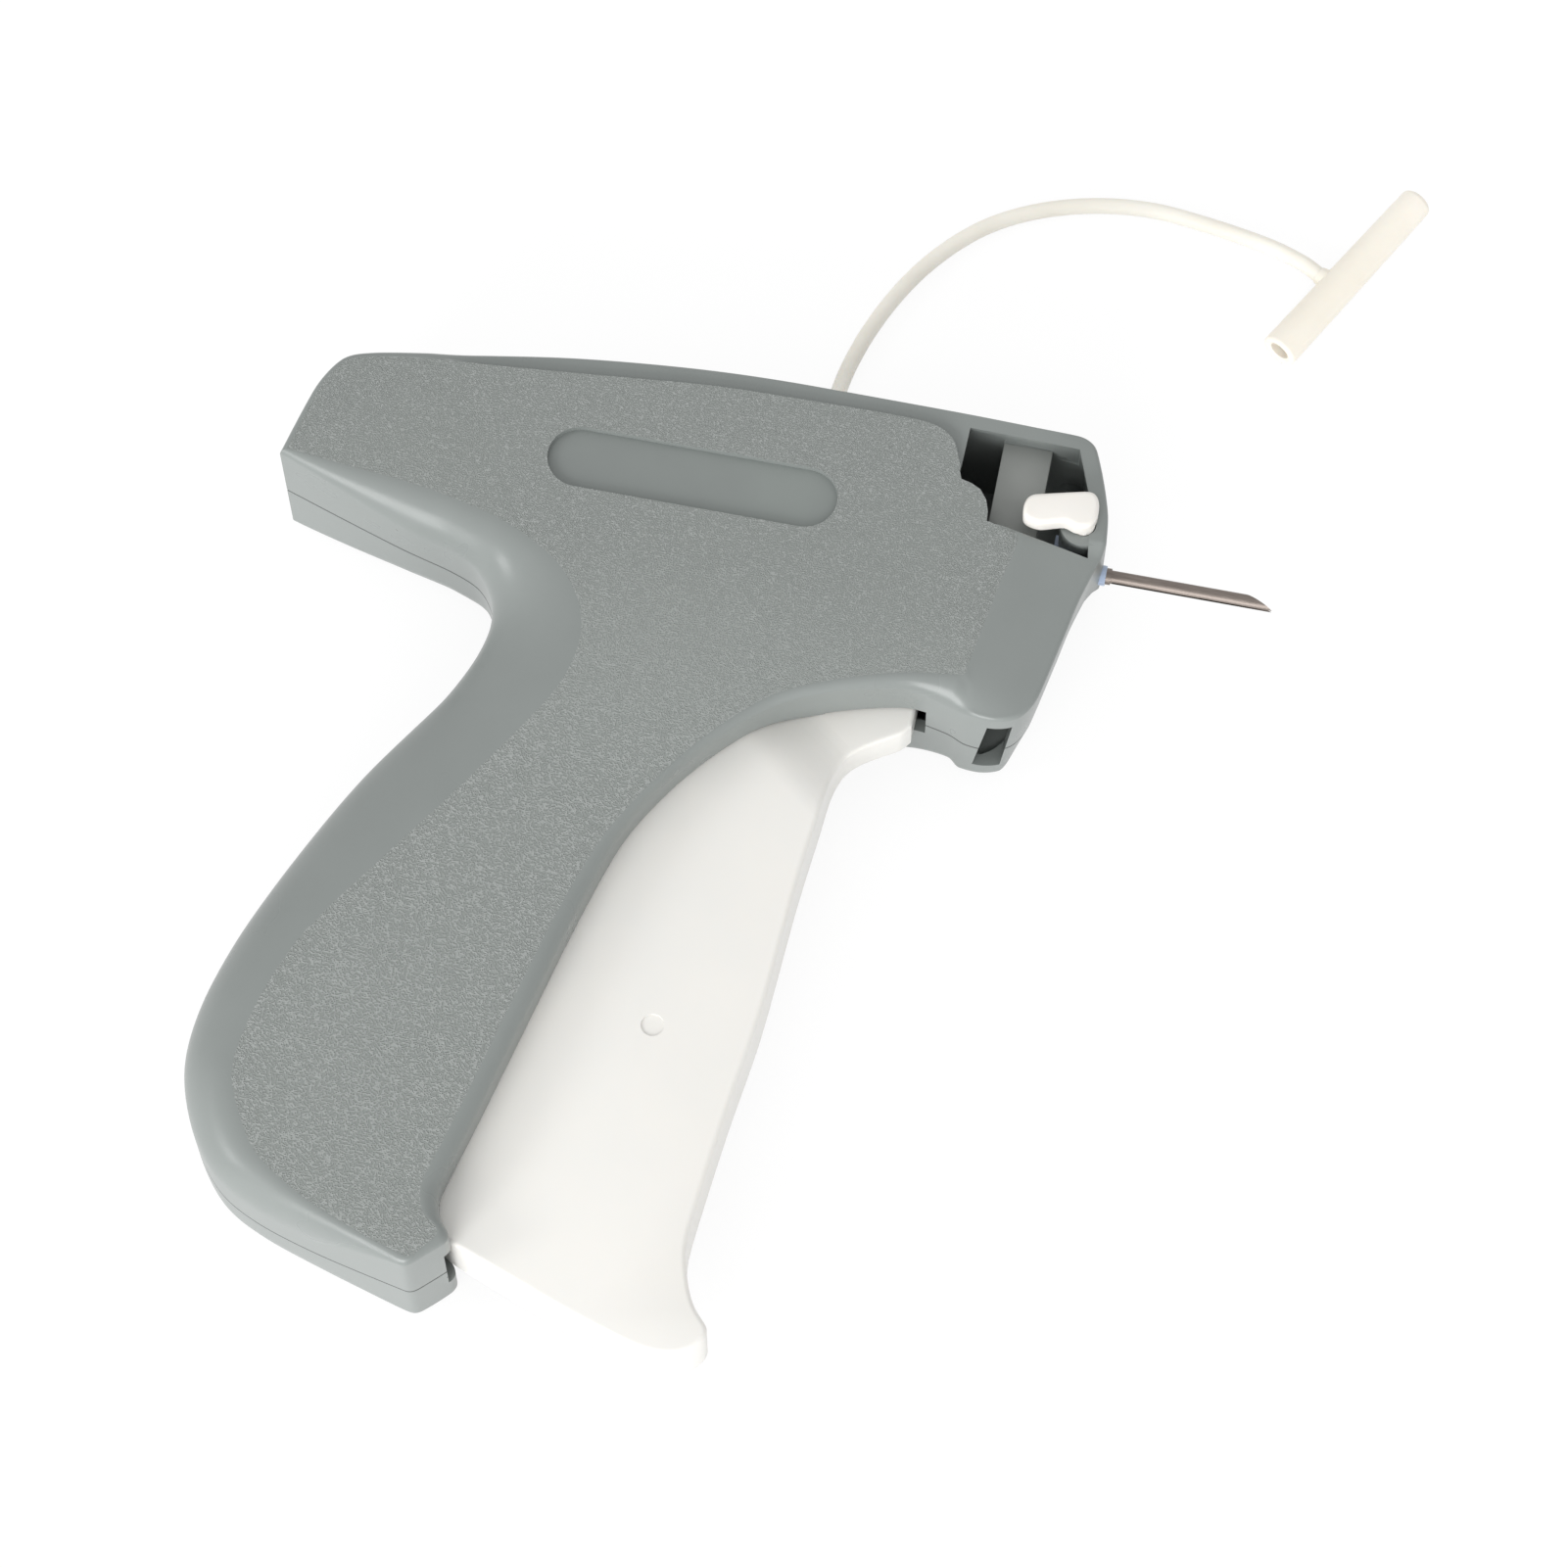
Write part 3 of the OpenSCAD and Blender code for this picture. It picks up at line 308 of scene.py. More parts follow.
# ---- Material nodes --------------------------------------------------------------------
class Nodes:
    """Small builder for a material's node tree."""

    def __init__(self, name):
        self.material = bpy.data.materials.new(name)
        self.material.use_nodes = True
        self.tree = self.material.node_tree
        self.tree.nodes.clear()

    def add(self, kind, settings=None, **inputs):
        """Adds a node, sets its properties, and sets or links its inputs."""
        node = self.tree.nodes.new("ShaderNode" + kind)
        for key, value in (settings or {}).items():
            setattr(node, key, value)
        for key, value in inputs.items():
            by_number = key[0] == "i" and key[1:].isdigit()
            socket = node.inputs[int(key[1:]) if by_number else key.replace("_", " ")]
            if isinstance(value, bpy.types.NodeSocket):
                self.tree.links.new(value, socket)
            else:
                socket.default_value = value
        return node

    def place(self):
        """Coordinates that stay with the piece."""
        return self.add("TexCoord").outputs["Object"]

    def noise(self, where, scale, detail, roughness=0.5):
        node = self.add("TexNoise", None, Vector=where, Scale=scale, Detail=detail, Roughness=roughness)
        return node.outputs["Fac"]

    def calc(self, operation, *values):
        node = self.add("Math", {"operation": operation}, **{f"i{k}": v for k, v in enumerate(values)})
        return node.outputs["Value"]

    def spread(self, value, low, high, out_low, out_high, **settings):
        """Maps value from low and high to out_low and out_high."""
        ends = {"From_Min": low, "From_Max": high, "To_Min": out_low, "To_Max": out_high}
        return self.add("MapRange", settings, Value=value, **ends).outputs["Result"]

    def ramp(self, fac, stops):
        """Colour ramp over fac with (place, colour) stops."""
        node = self.add("ValToRGB", None, Fac=fac)
        while len(node.color_ramp.elements) < len(stops):
            node.color_ramp.elements.new(0.5)
        for element, (place, colour) in zip(node.color_ramp.elements, stops):
            element.position = place
            element.color = colour
        return node.outputs["Color"]

    def bump(self, height, strength, distance):
        return self.add("Bump", None, Strength=strength, Distance=distance, Height=height).outputs["Normal"]

    def principled(self, tone, gloss, lift, **inputs):
        return self.add("BsdfPrincipled", None, Base_Color=tone, Roughness=gloss, Normal=lift, **inputs)

    def finish(self, shader):
        self.add("OutputMaterial", None, Surface=shader.outputs[0])
        return self.material


def plain_plastic(name, colour, second, rough, grain_mm, bump_mm, sss=0.0):
    """Moulded plastic: even colour, slow mottling from the melt, 18 mm across, and a faint tool-mark bump."""
    n = Nodes(name)
    where = n.place()
    slow = n.noise(where, 1000 / 18, 3.0, 0.55)
    tone = n.ramp(slow, [(0.3, linear(second)), (0.7, linear(colour))])
    lift = n.bump(n.noise(where, 1000 / grain_mm, 2.0, 0.6), 0.25, bump_mm / 1000)
    gloss = n.spread(slow, 0.3, 0.7, rough - 0.05, rough + 0.06)
    shader = n.principled(tone, gloss, lift, IOR=1.49)
    if sss:
        shader.inputs["Subsurface Weight"].default_value = sss
        shader.inputs["Subsurface Radius"].default_value = (1.0, 0.8, 0.6)
        shader.inputs["Subsurface Scale"].default_value = 0.001
    return n.finish(shader)


def textured_plastic(name, colour, dark, light, rough, fine_mm, coarse_mm, depth_mm):
    """ABS from a spark-eroded mould: worm-like ridges, with painted highlight making the crests lighter and
    painted shade making the valleys darker. The ridges follow the lines where a noise field passes its
    middle, fine_mm apart on the barrel and coarse_mm apart down the handle."""
    n = Nodes(name)
    where = n.place()
    split = n.add("SeparateXYZ", None, Vector=where)
    down = n.spread(split.outputs["Y"], 0.045, 0.005, 0.0, 1.0)
    heights = []
    for size in (fine_mm, coarse_mm):
        field = n.noise(where, 1050 / size, 1.0, 0.4)
        away = n.calc("ABSOLUTE", n.calc("SUBTRACT", field, 0.5))
        crest = n.spread(away, 0.0, 0.11, 1.0, 0.0, interpolation_type="SMOOTHSTEP")
        fine_relief = n.noise(where, 3000 / size, 2.0, 0.6)
        heights.append(n.calc("MULTIPLY_ADD", fine_relief, 0.35, crest))
    height = n.add("Mix", {"data_type": "FLOAT"}, i0=down, i2=heights[0], i3=heights[1]).outputs[0]
    # tone follows the ridge height: the darker valleys are painted shade and the lighter crests painted
    # highlight
    tone = n.ramp(height, [(0.05, linear(dark)), (0.5, linear(colour)), (1.1, linear(light))])
    lift = n.bump(height, 0.9, depth_mm / 1000)
    gloss = n.spread(height, 0.1, 1.2, rough + 0.1, rough - 0.06)
    return n.finish(n.principled(tone, gloss, lift, IOR=1.52))


def steel(name, colour, dark, rough, axis=0):
    """Bright drawn or ground steel: fine lines along one axis, 0.08 mm wide, that vary gloss and tone."""
    n = Nodes(name)
    scale = [1.0, 1.0, 1.0]
    scale[axis] = 0.03
    run = n.add("Mapping", None, Vector=n.place(), Scale=tuple(scale))
    lines = n.noise(run.outputs["Vector"], 1000 / 0.08, 3.0)
    tone = n.ramp(lines, [(0.3, linear(dark)), (0.7, linear(colour))])
    lift = n.bump(lines, 0.2, 0.00001)
    gloss = n.spread(lines, 0.3, 0.7, rough - 0.06, rough + 0.1)
    return n.finish(n.principled(tone, gloss, lift, Metallic=1.0))


# ---- Measures of the shells, in tool-frame millimetres ----------------------------------
# thickness of the tool, heights of the needle's middle and of the joint, thickness of the walls
THICK, MID, SEAM, WALL = 26.0, 13.0, 12.0, 2.0
# height of the rounded shoulder, depths of the stepped margin and the nose panel, radius of their edges
SHOULDER, STEP_DROP, NOSE_DROP, EDGE_R = 8.0, 1.2, 2.0, 0.8
# silhouette x, y, edge of the textured face x, y, share of the stepped margin, share of the nose panel
OUTLINE_KNOTS = [
    (-128.5, -9.8, -127.4, -9.2, 0, 0), (-128.5, -9.8, -127.4, -9.2, 0, 0),
    (-118, -13.3, -118, -10.2, 0, 0), (-108, -16.5, -109.5, -11, 0, 0),
    (-100, -18.7, -100.8, -12.4, 0, 0), (-95, -21, -90.9, -15.2, 0, 0), (-92, -25.2, -82.2, -20.2, 0, 0),
    (-91.2, -30, -77.4, -26.8, 0, 0), (-92.5, -36, -76.4, -34.1, 0, 0),
    (-95.8, -43.5, -78.9, -42.4, 0, 0), (-104.7, -58, -88.5, -58.5, 0, 0),
    (-111.6, -72.5, -98, -73, 0, 0), (-117.1, -86.6, -106.5, -86.5, 0, 0),
    (-120.1, -98.5, -110.8, -98.5, 0, 0), (-120.3, -108.5, -112.1, -109.2, 0, 0),
    (-117, -117.5, -109.4, -116.2, 0, 0), (-111.8, -124.2, -105.4, -121.8, 0, 0),
    (-105, -128, -97.8, -126.6, 0, 0), (-95, -131, -88.4, -130.4, 0, 0),
    (-82, -133.8, -81.3, -132.6, 0, 0), (-80.6, -133.9, -80.1, -132.6, 0, 0),
    (-79.4, -133.2, -79.3, -131.9, 0, 0), (-75.9, -129.8, -77.2, -129.2, 0, 0),
    (-75.3, -128.6, -77, -128.2, 0, 0), (-75.7, -127.4, -77.6, -127.2, 0, 0),
    (-77.5, -125, -79.7, -125.6, 0, 0), (-78.3, -121, -80.8, -121.5, 0, 0),
    (-75.3, -108.2, -77.6, -108, 0, 0), (-71.6, -92, -74, -92, 0, 0), (-67.6, -74.6, -70, -75, 0, 0),
    (-63.6, -60.8, -65.8, -62.3, 0, 0), (-58, -50.6, -60.1, -52, 0, 0),
    (-51.6, -42.6, -53.8, -43.3, 0, 0), (-45, -36.6, -46.4, -35.9, 0, 0),
    (-38.2, -33.1, -39, -31.9, 0, 0), (-31, -30.8, -31, -29, 0, 0), (-25, -29.7, -24.5, -27.4, 0, 0),
    (-19.5, -30.6, -18.8, -26.7, 0, 0), (-15.2, -31.9, -17.7, -26.2, 0, 1),
    (-11.4, -32, -17.5, -24.8, 0, 1), (-8.2, -30.6, -17.2, -23, 0, 1), (-6.2, -27, -16.9, -21, 0, 1),
    (-4.2, -17.1, -16.1, -16, 0, 1), (-2.8, -9.7, -15.1, -9.7, 0, 1), (-0.9, -2.6, -13.9, -2, 0, 1),
    (-0.4, 0.2, -18.2, -0.6, 1, 0), (-0.4, 0.2, -18.2, -0.6, 1, 0), (-0.9, 4.6, -18.9, 3.6, 1, 0),
    (-1.9, 8.4, -21.6, 6, 1, 0), (-3.1, 12, -24.3, 6.7, 1, 0), (-3.1, 12, -24.3, 6.7, 1, 0),
    (-4.8, 16, -25.2, 9.2, 1, 0), (-7, 17.3, -26.9, 12.6, 1, 0), (-14, 17.5, -30.6, 14.4, 1, 0),
    (-27, 17.8, -38, 14.7, 1, 0), (-51.4, 18, -56, 14.5, 1, 0), (-63.8, 17.7, -66.2, 14.1, 1, 0),
    (-76, 16.8, -77, 13.1, 1, 0), (-88.3, 15.4, -88.5, 12, 1, 0), (-100.4, 13.4, -99.8, 11, 1, 0),
    (-110, 11.6, -109.6, 10.2, 0, 0), (-118.2, 9.9, -117.8, 8.9, 0, 0), (-122.6, 7.9, -121.9, 7.3, 0, 0),
    (-125.6, 2.4, -124.8, 2.2, 0, 0),
]
# the front of the handle, from the bottom corner up to the chin, where the trigger's slot opens
SLOT_KNOTS = [
    (-80, -133), (-77.5, -125), (-78.3, -121), (-75.3, -108.2), (-71.6, -92), (-67.6, -74.6),
    (-63.6, -60.8), (-58, -50.6), (-51.6, -42.6), (-45, -36.6), (-38.2, -33.1), (-31, -30.8),
    (-25, -29.7),
]
WINDOW = [
    (-24.5, 15.4), (-24.7, 7.2), (-24.2, 5.9), (-22.6, 5.5), (-21.0, 4.7), (-19.8, 3.1), (-19.2, 1.2),
    (-19.1, -0.4), (-13.2, -1.3), (-2.8, -2.8), (-4.2, 7), (-7.2, 15),
]
SCREWS = [(-120.6, -0.5), (-84, 9.9), (-36, 11.6), (-19.8, -21), (-95.5, -124.6)]
# radii of the screws' posts, of the recesses over their heads and of their shank holes
POST_R, HEAD_R, SHANK_R = 3.2, 2.6, 1.4
# axis of the lock lever, and radii of its boss, its bore and its stem
LEVER_AT, BOSS_R, BORE_R, STEM_R = (-4.4, 2.5), 3.6, 1.95, 1.8
GRIP_KNOTS = [
    (-24.6, -32.3), (-24.6, -32.3), (-26, -34), (-30.6, -36.9), (-33.4, -39.6), (-34.9, -43.5),
    (-35.6, -50), (-36.7, -62.4), (-37.9, -83.3), (-39.9, -100), (-41.4, -116), (-41.5, -121.5),
    (-40.2, -126.5), (-38.6, -129.8), (-36.2, -132.6), (-36.3, -134.6), (-38.6, -137), (-42.4, -138),
    (-47, -137.4), (-58, -134), (-75.2, -127.6), (-78.6, -125.6), (-78.6, -125.6), (-81.4, -119),
    (-79, -108), (-76, -96), (-71.8, -76), (-67, -61), (-61, -51), (-52, -41), (-44, -33), (-38, -27),
    (-33, -22.5), (-33, -22.5), (-24.4, -24.5), (-24.4, -24.5),
]
GRIP_HOLLOW = [
    (-36, -42), (-37, -62), (-38.5, -83), (-40.5, -100), (-42, -117), (-42, -124), (-39, -132.6),
    (-42, -135), (-54, -132.4), (-74, -124.6), (-90, -118), (-68, -58), (-60, -47), (-48, -38),
]
LEVER_KNOTS = [
    (-13.9, 2.6), (-13.6, 0.9), (-12.6, 0.2), (-10.7, 0.0), (-7.3, 1.0), (-5.3, 0.5), (-3.4, 1.0),
    (-2.5, 2.8), (-2.6, 5.2), (-3.6, 6.7), (-5.4, 6.7), (-12.4, 4.9), (-13.5, 4.1),
]
# the trigger's pivot, and the circle about it that the trigger's slot keeps inside
PIVOT, SWEEP_R = (-30.0, -24.0), 115.4
# the trigger's neck: direction up it and that direction's square, where the thinning starts and ends,
# and the share of the thickness that is left
NECK, NECK_SQUARE, NECK_FROM, NECK_TO, NECK_LEFT = (0.62, 0.78), 0.9928, -62, -50, 3.5 / 6
# x of the pillar in the window, from and to
PILLAR = (-19.0, -11.3)
# middle x and y of the badge's recess, its length, height and depth
BADGE = (-65.0, -1.8, 45.5, 10.2, 1.0)
# exit of the tag pins' channel in the chin: x from and to at two heights
CHUTE = ((-14.9, -10.7, 5.5), (-13.05, -9.3, 20.5))
# places of the shells' materials in their lists; the last is the dark painted shade of the seam's gap
GRAIN, PANEL, JOINT_SHADE = 1, 2, 3
# x, y and height of the tether's middle line, from inside the top wall to the cap
CORD_ROUTE = [
    (-48, 15.8, 4.6), (-48, 18, 4.6), (-48, 20.5, 4.5), (-48, 23, 4.0), (-47.9, 25.5, 3.0),
    (-47.8, 28, 2.0), (-47.5, 31, 1.4), (-46.9, 34.3, 1.3), (-45.3, 40, 1.3), (-42.6, 46.7, 1.3),
    (-39, 53.2, 1.3), (-34.5, 59, 1.3), (-29.5, 63.6, 1.3), (-23.6, 67.1, 1.3), (-17, 69.6, 1.3),
    (-10, 71.1, 1.3), (-3, 71.5, 1.3), (4, 70.8, 1.3), (10.8, 69.6, 1.5), (16.7, 67.9, 2.3),
    (21.73, 65.73, 3.05), (24.51, 64.16, 3.05),
]
# the needle cap: middle, direction from its closed end to its mouth, height of its axis, length
CAP_MID, CAP_DIR, CAP_Z, CAP_LONG = (29.3, 64.9), (-0.492, -0.871), 3.05, 36.5

# ---- Camera and floor: metres, degrees and millimetres of lens ----------------------------
TARGET, DISTANCE, TURN, TILT, LENS = (0.00881, 0.01589, 0.013), 0.8025, 11.195, 67.5, 120.3
FLOOR_Z, GLOW_SHARE = -0.0002, 0.85


# ---- Forms of the shells and the trigger ----------------------------------------------------


def shoulder_profile(t, w):
    """Share of the way from silhouette to face, and height above the needle plane, for t from 0 to 1.
    Round band: quarter ellipse. Step and nose: small quarter round, then the margin or the slope."""
    r = np.minimum(SHOULDER, np.maximum(w, 1.0))
    a = 0.5 * np.pi * t
    band = np.stack([1 - np.cos(a), MID - r * (1 - np.sin(a))], -1)
    out = [band]
    for drop in (STEP_DROP, NOSE_DROP):
        top = MID - drop
        c = EDGE_R / w
        b = 0.5 * np.pi * np.clip(t / 0.4, 0, 1)
        s = c * (1 - np.cos(b))
        h = top - EDGE_R * (1 - np.sin(b))
        if drop == STEP_DROP:
            wide = np.clip((t - 0.4) / 0.3, 0, 1)
            rise = np.clip((t - 0.7) / 0.3, 0, 1)
            edge = 1 - 0.35 / w
            s = np.where(t > 0.4, c + (edge - c) * wide, s)
            s = np.where(t > 0.7, edge + (1 - edge) * np.sin(rise * np.pi / 2), s)
            h = np.where(t > 0.7, top + drop * (1 - np.cos(rise * np.pi / 2)), h)
        else:
            run = np.clip((t - 0.4) / 0.6, 0, 1)
            s = np.where(t > 0.4, c + (1 - c) * run, s)
            h = np.where(t > 0.4, top + drop * run, h)
        out.append(np.stack([s, h], -1))
    return out


def lean(q, z):
    """How far the nose draws back at height z: 0.075 mm for each mm below z 24 on its panel, from y -1.5
    to -4.5 on, and 0.3 mm (0.17 below y -14) for each mm below z 12.5, just under the needle's middle, from
    y 3 to 0 on and from x -9 to -5 on."""
    x, y = q[:, 0], q[:, 1]
    panel = 0.075 * np.maximum(24 - z, 0) * q[:, 5] * np.clip((-1.5 - y) / 3, 0, 1)
    slope = 0.17 + 0.13 * np.clip((y + 14) / 5, 0, 1)
    return -panel - slope * np.maximum(12.5 - z, 0) * np.clip((3 - y) / 3, 0, 1) * np.clip((x + 9) / 4, 0, 1)


def shell_rings(q, side, line):
    """Rings of one shell from the seam to its face. Each point moves from the silhouette to the face edge
    by its share; a small chamfer at the seam, line wide, makes room for the joint line, whose dark colour is
    painted shade of the gap between the shells."""
    w = np.hypot(q[:, 2] - q[:, 0], q[:, 3] - q[:, 1])
    sil, face = q[:, :2], q[:, 2:4]
    step, nose = q[:, 4:5], q[:, 5:6]
    rings = [np.c_[inset(sil, line), np.full(len(q), SEAM)], np.c_[sil, np.full(len(q), SEAM + side * line)]]
    for t in np.linspace(0, 1, 19):
        band, stepped, sloped = shoulder_profile(np.full(len(q), t), w)
        p = band * (1 - step - nose) + stepped * step + sloped * nose
        xy = sil + (face - sil) * p[:, :1]
        rings.append(np.c_[xy, MID + side * (np.full(len(q), MID) if t == 1 else p[:, 1])])
    for ring in rings:
        ring[:, 0] += lean(q, ring[:, 2])
    return rings


def drawn(q, h, nose=0.0):
    """Silhouette moved towards the face by share h on the round band and nose on the nose panel."""
    k = (h * (1 - q[:, 4] - q[:, 5]) + nose * q[:, 5])[:, None]
    return q[:, :2] + (q[:, 2:4] - q[:, :2]) * k


def cavity_form(q):
    """Room inside the shells, lofted through three inset outlines, the widest at the seam."""
    outlines = [drawn(q, 0.6, 0.6), drawn(q, 0.35), q[:, :2]]
    low = [inset(p, WALL) for p in outlines]
    keep = np.ones(len(q), bool)
    for p, moved in zip(outlines, low):
        turned_back = ((np.roll(p, -1, 0) - p) * (np.roll(moved, -1, 0) - moved)).sum(1) < 0
        keep &= ~(turned_back | np.roll(turned_back, 1))
    low = [p[keep] for p in low]
    heights = [(2.0, 0), (4.5, 0), (4.6, 1), (7.5, 1), (7.6, 2)]
    heights += [(18.4, 2), (18.5, 1), (21.4, 1), (21.5, 0), (24.0, 0)]
    rings = [np.c_[low[k], np.full(keep.sum(), z)] for z, k in heights]
    for ring in rings:
        ring[:, 0] += lean(q[keep], ring[:, 2])
    return loft("cavity", rings)


def clear_way(obj):
    """Removes the scraps of joint edge that the hole's cut leaves within 1.6 mm of the needle's axis."""
    bm = bmesh.new()
    bm.from_mesh(obj.data)
    scraps = []
    for f in bm.faces:
        x, y, z = f.calc_center_median() * 1000
        if math.hypot(y + CENTRE[1], z - MID) < 1.6 and -7 < x + CENTRE[0] < 3:
            scraps.append(f)
    bmesh.ops.delete(bm, geom=scraps, context="FACES")
    bm.to_mesh(obj.data)
    bm.free()


def taper(obj):
    """Thins a solid about the needle plane towards the pivot: u = NECK . (x, y) runs up the trigger's neck,
    and the thickness falls from whole at NECK_FROM to the share NECK_LEFT at NECK_TO along a smooth step."""
    bm = bmesh.new()
    bm.from_mesh(obj.data)
    for u in np.linspace(NECK_FROM, NECK_TO, 9):
        geom = list(bm.verts) + list(bm.edges) + list(bm.faces)
        place = [*row([NECK[0] * u / NECK_SQUARE, NECK[1] * u / NECK_SQUARE]), 0]
        bmesh.ops.bisect_plane(bm, geom=geom, plane_co=place, plane_no=(*NECK, 0))
    for v in bm.verts:
        x, y = v.co.x * 1000 + CENTRE[0], v.co.y * 1000 + CENTRE[1]
        t = min(max((NECK[0] * x + NECK[1] * y - NECK_FROM) / (NECK_TO - NECK_FROM), 0), 1)
        k = 1 - (1 - NECK_LEFT) * t * t * (3 - 2 * t)
        v.co.z = MID / 1000 + (v.co.z - MID / 1000) * k
    bm.to_mesh(obj.data)
    bm.free()


def slab(name, outline, z0, z1, low, high):
    """Solid of an outline between two heights, with quarter-round edges of radius low and high."""
    b = np.linspace(0, np.pi / 2, 6)
    rings = [(inset(outline, low * (1 - np.sin(a))), z0 + low * (1 - np.cos(a))) for a in b]
    rings += [(inset(outline, high * (1 - np.sin(a))), z1 - high * (1 - np.cos(a))) for a in b[::-1]]
    return loft(name, [np.c_[p, np.full(len(p), z)] for p, z in rings])


def rod(name, start, along, radius, length, n):
    return turned(name, start, along, [(0, 0), (0, radius), (length, radius), (length, 0)], n)


def shell_ribs(side, base, lo, hi, roof):
    """Ribs and seats inside one shell: x from and to, y from and to, z from and to."""
    low, high = max(lo, 4.0), min(hi, 22.0)
    ribs = [
        (-114, -28, 5.3, 6.9, base, roof),  # rail above the slide
        (-16.1, -14.6, -26, -14.6, base, roof),  # rear wall of the channel
        (-16.1, -14.6, -30.6, -26.5, low, high),  # its lower end
        (-9.4, -8.4, -28.5 if side > 0 else -18, -6.3, low, high),  # front wall of the channel
        (-106.2, -98, -70.1, -61.7, max(lo, 6.8), min(hi, 19.2)),  # seat of the return spring
    ]
    if side > 0:
        return ribs + [
            (-114, -26, -1.2, 4, 18.3, 24.6),  # track over the slide
            (-4.4, -1.9, 1, 4, 18.2, 24.0),  # wall in front of the lever's boss
        ]
    return ribs + [
        (-114, -26, -1.2, 4, 1.4, 7.7),  # track under the slide
        (-8.5, -6.0, -3, 3, 1.9, 8.0),  # seat of the needle base
        (-19.0, -14.6, -2.6, 15, 1.5, 4.0),  # seat of the guide block
    ]


def grip_slot():
    """Room that the trigger swings in, behind the front of the handle."""
    edge = inset(smooth_curve(SLOT_KNOTS, 2, closed=False), WALL + 1)[1:-1]
    slot = prism("grip_slot", np.vstack([edge, [(-36, -60), (-50, -150)]]), 6.6, 19.4)
    carve(slot, prism("sweep", disc(*PIVOT, SWEEP_R, 360), 0, 26), "INTERSECT")
    taper(slot)
    return slot


def badge_recess(mats):
    """Bar with round ends. Its lower end makes the floor of the recess and carries that floor's material."""
    x, y, long, high, deep = BADGE
    half = (long - high) / 2
    a = np.linspace(-np.pi / 2, np.pi / 2, 40)
    ends = [np.c_[x + half + high / 2 * np.cos(a), y + high / 2 * np.sin(a)]]
    ends.append(np.c_[x - half - high / 2 * np.cos(a), y - high / 2 * np.sin(a)])
    badge = prism("badge", np.vstack(ends), THICK - deep, THICK + 4)
    for m in mats:
        badge.data.materials.append(m)
    ids = np.zeros(len(badge.data.polygons), np.int32)
    ids[-2] = PANEL
    badge.data.polygons.foreach_set("material_index", ids)
    return badge


def shell_cuts(side, mats):
    """Solids that cut the openings of one shell, in the order of the cuts."""
    chute = [np.c_[np.array(box_outline(x0, x1, -35, -25)), np.full(4, z)] for x0, x1, z in CHUTE]
    cuts = [
        prism("hub_slot", box_outline(-38, -22.8, -40, -24), 9, 17),
        prism("chute_top", box_outline(-14.6, -11.9, 12, 20), 5.5, 20.5),
        loft("chute_low", chute),
        rod("needle_hole", (-6, 0, MID), (1, 0, 0), 1.9, 8, 40),
        grip_slot(),
    ]
    if side > 0:
        return cuts + [prism("window", WINDOW, 20, 30), badge_recess(mats)]
    for x, y in SCREWS:
        cuts.append(prism("head", disc(x, y, HEAD_R, 48), -1, 3))
        cuts.append(prism("shank", disc(x, y, SHANK_R, 32), -1, 13))
    return cuts + [rod("tether_hole", (-48, 12.8, 4.6), (0, 1, 0), 1.4, 10, 32)]


# ---- Sizes and colours a user would change ------------------------------------------------
class ShellLooks(bpy.types.PropertyGroup):
    # the crests' lighter tone is painted highlight and the valleys' darker tone painted shade, both on one
    # ABS
    grain: hex_prop("Grain", "#979b99", "Crests of the textured ABS")
    texture: hex_prop("Texture", "#8b908d", "Middle tone of the textured ABS")
    valley_shade: hex_prop("Valleys", "#838885", "Valleys of the textured ABS")
    smooth: hex_prop("Smooth band", "#848987", "Smooth ABS of the sides and nose")
    smooth_low: hex_prop("Smooth band, low", "#808583", "Darker mottling of the smooth ABS")
    # the chamfer's width is also the width of the dark band of painted shade along the seam
    joint_line: length_prop("Joint line", 0.00022, "Chamfer at the joint between the shells", 0.0, 0.0004)


class TriggerLooks(bpy.types.PropertyGroup):
    white: hex_prop("Trigger white", "#e7e5e0", "Acetal of the trigger and lever")
    white_low: hex_prop("Trigger white, low", "#e4e3df", "Mottling of the acetal")
    edge: length_prop("Grip edge", 0.0008, "Rounding of the grip's edges", 0.0002, 0.0012)


class CordLooks(bpy.types.PropertyGroup):
    cord: hex_prop("Tether", "#f4f1e8", "Polyethylene of the tether")
    cap: hex_prop("Cap", "#f6f1e7", "Polyethylene of the needle cap")
    diameter: length_prop("Tether diameter", 0.0026, "Diameter of the tether", 0.002, 0.003)


class StageLooks(bpy.types.PropertyGroup):
    key: power_prop("Key light", 40.0, "Power of the key panel, in watts")
    fill: power_prop("Fill light", 6.0, "Power of the fill panel, in watts")
    sky: power_prop("Room light", 0.85, "Strength of the even light all round")


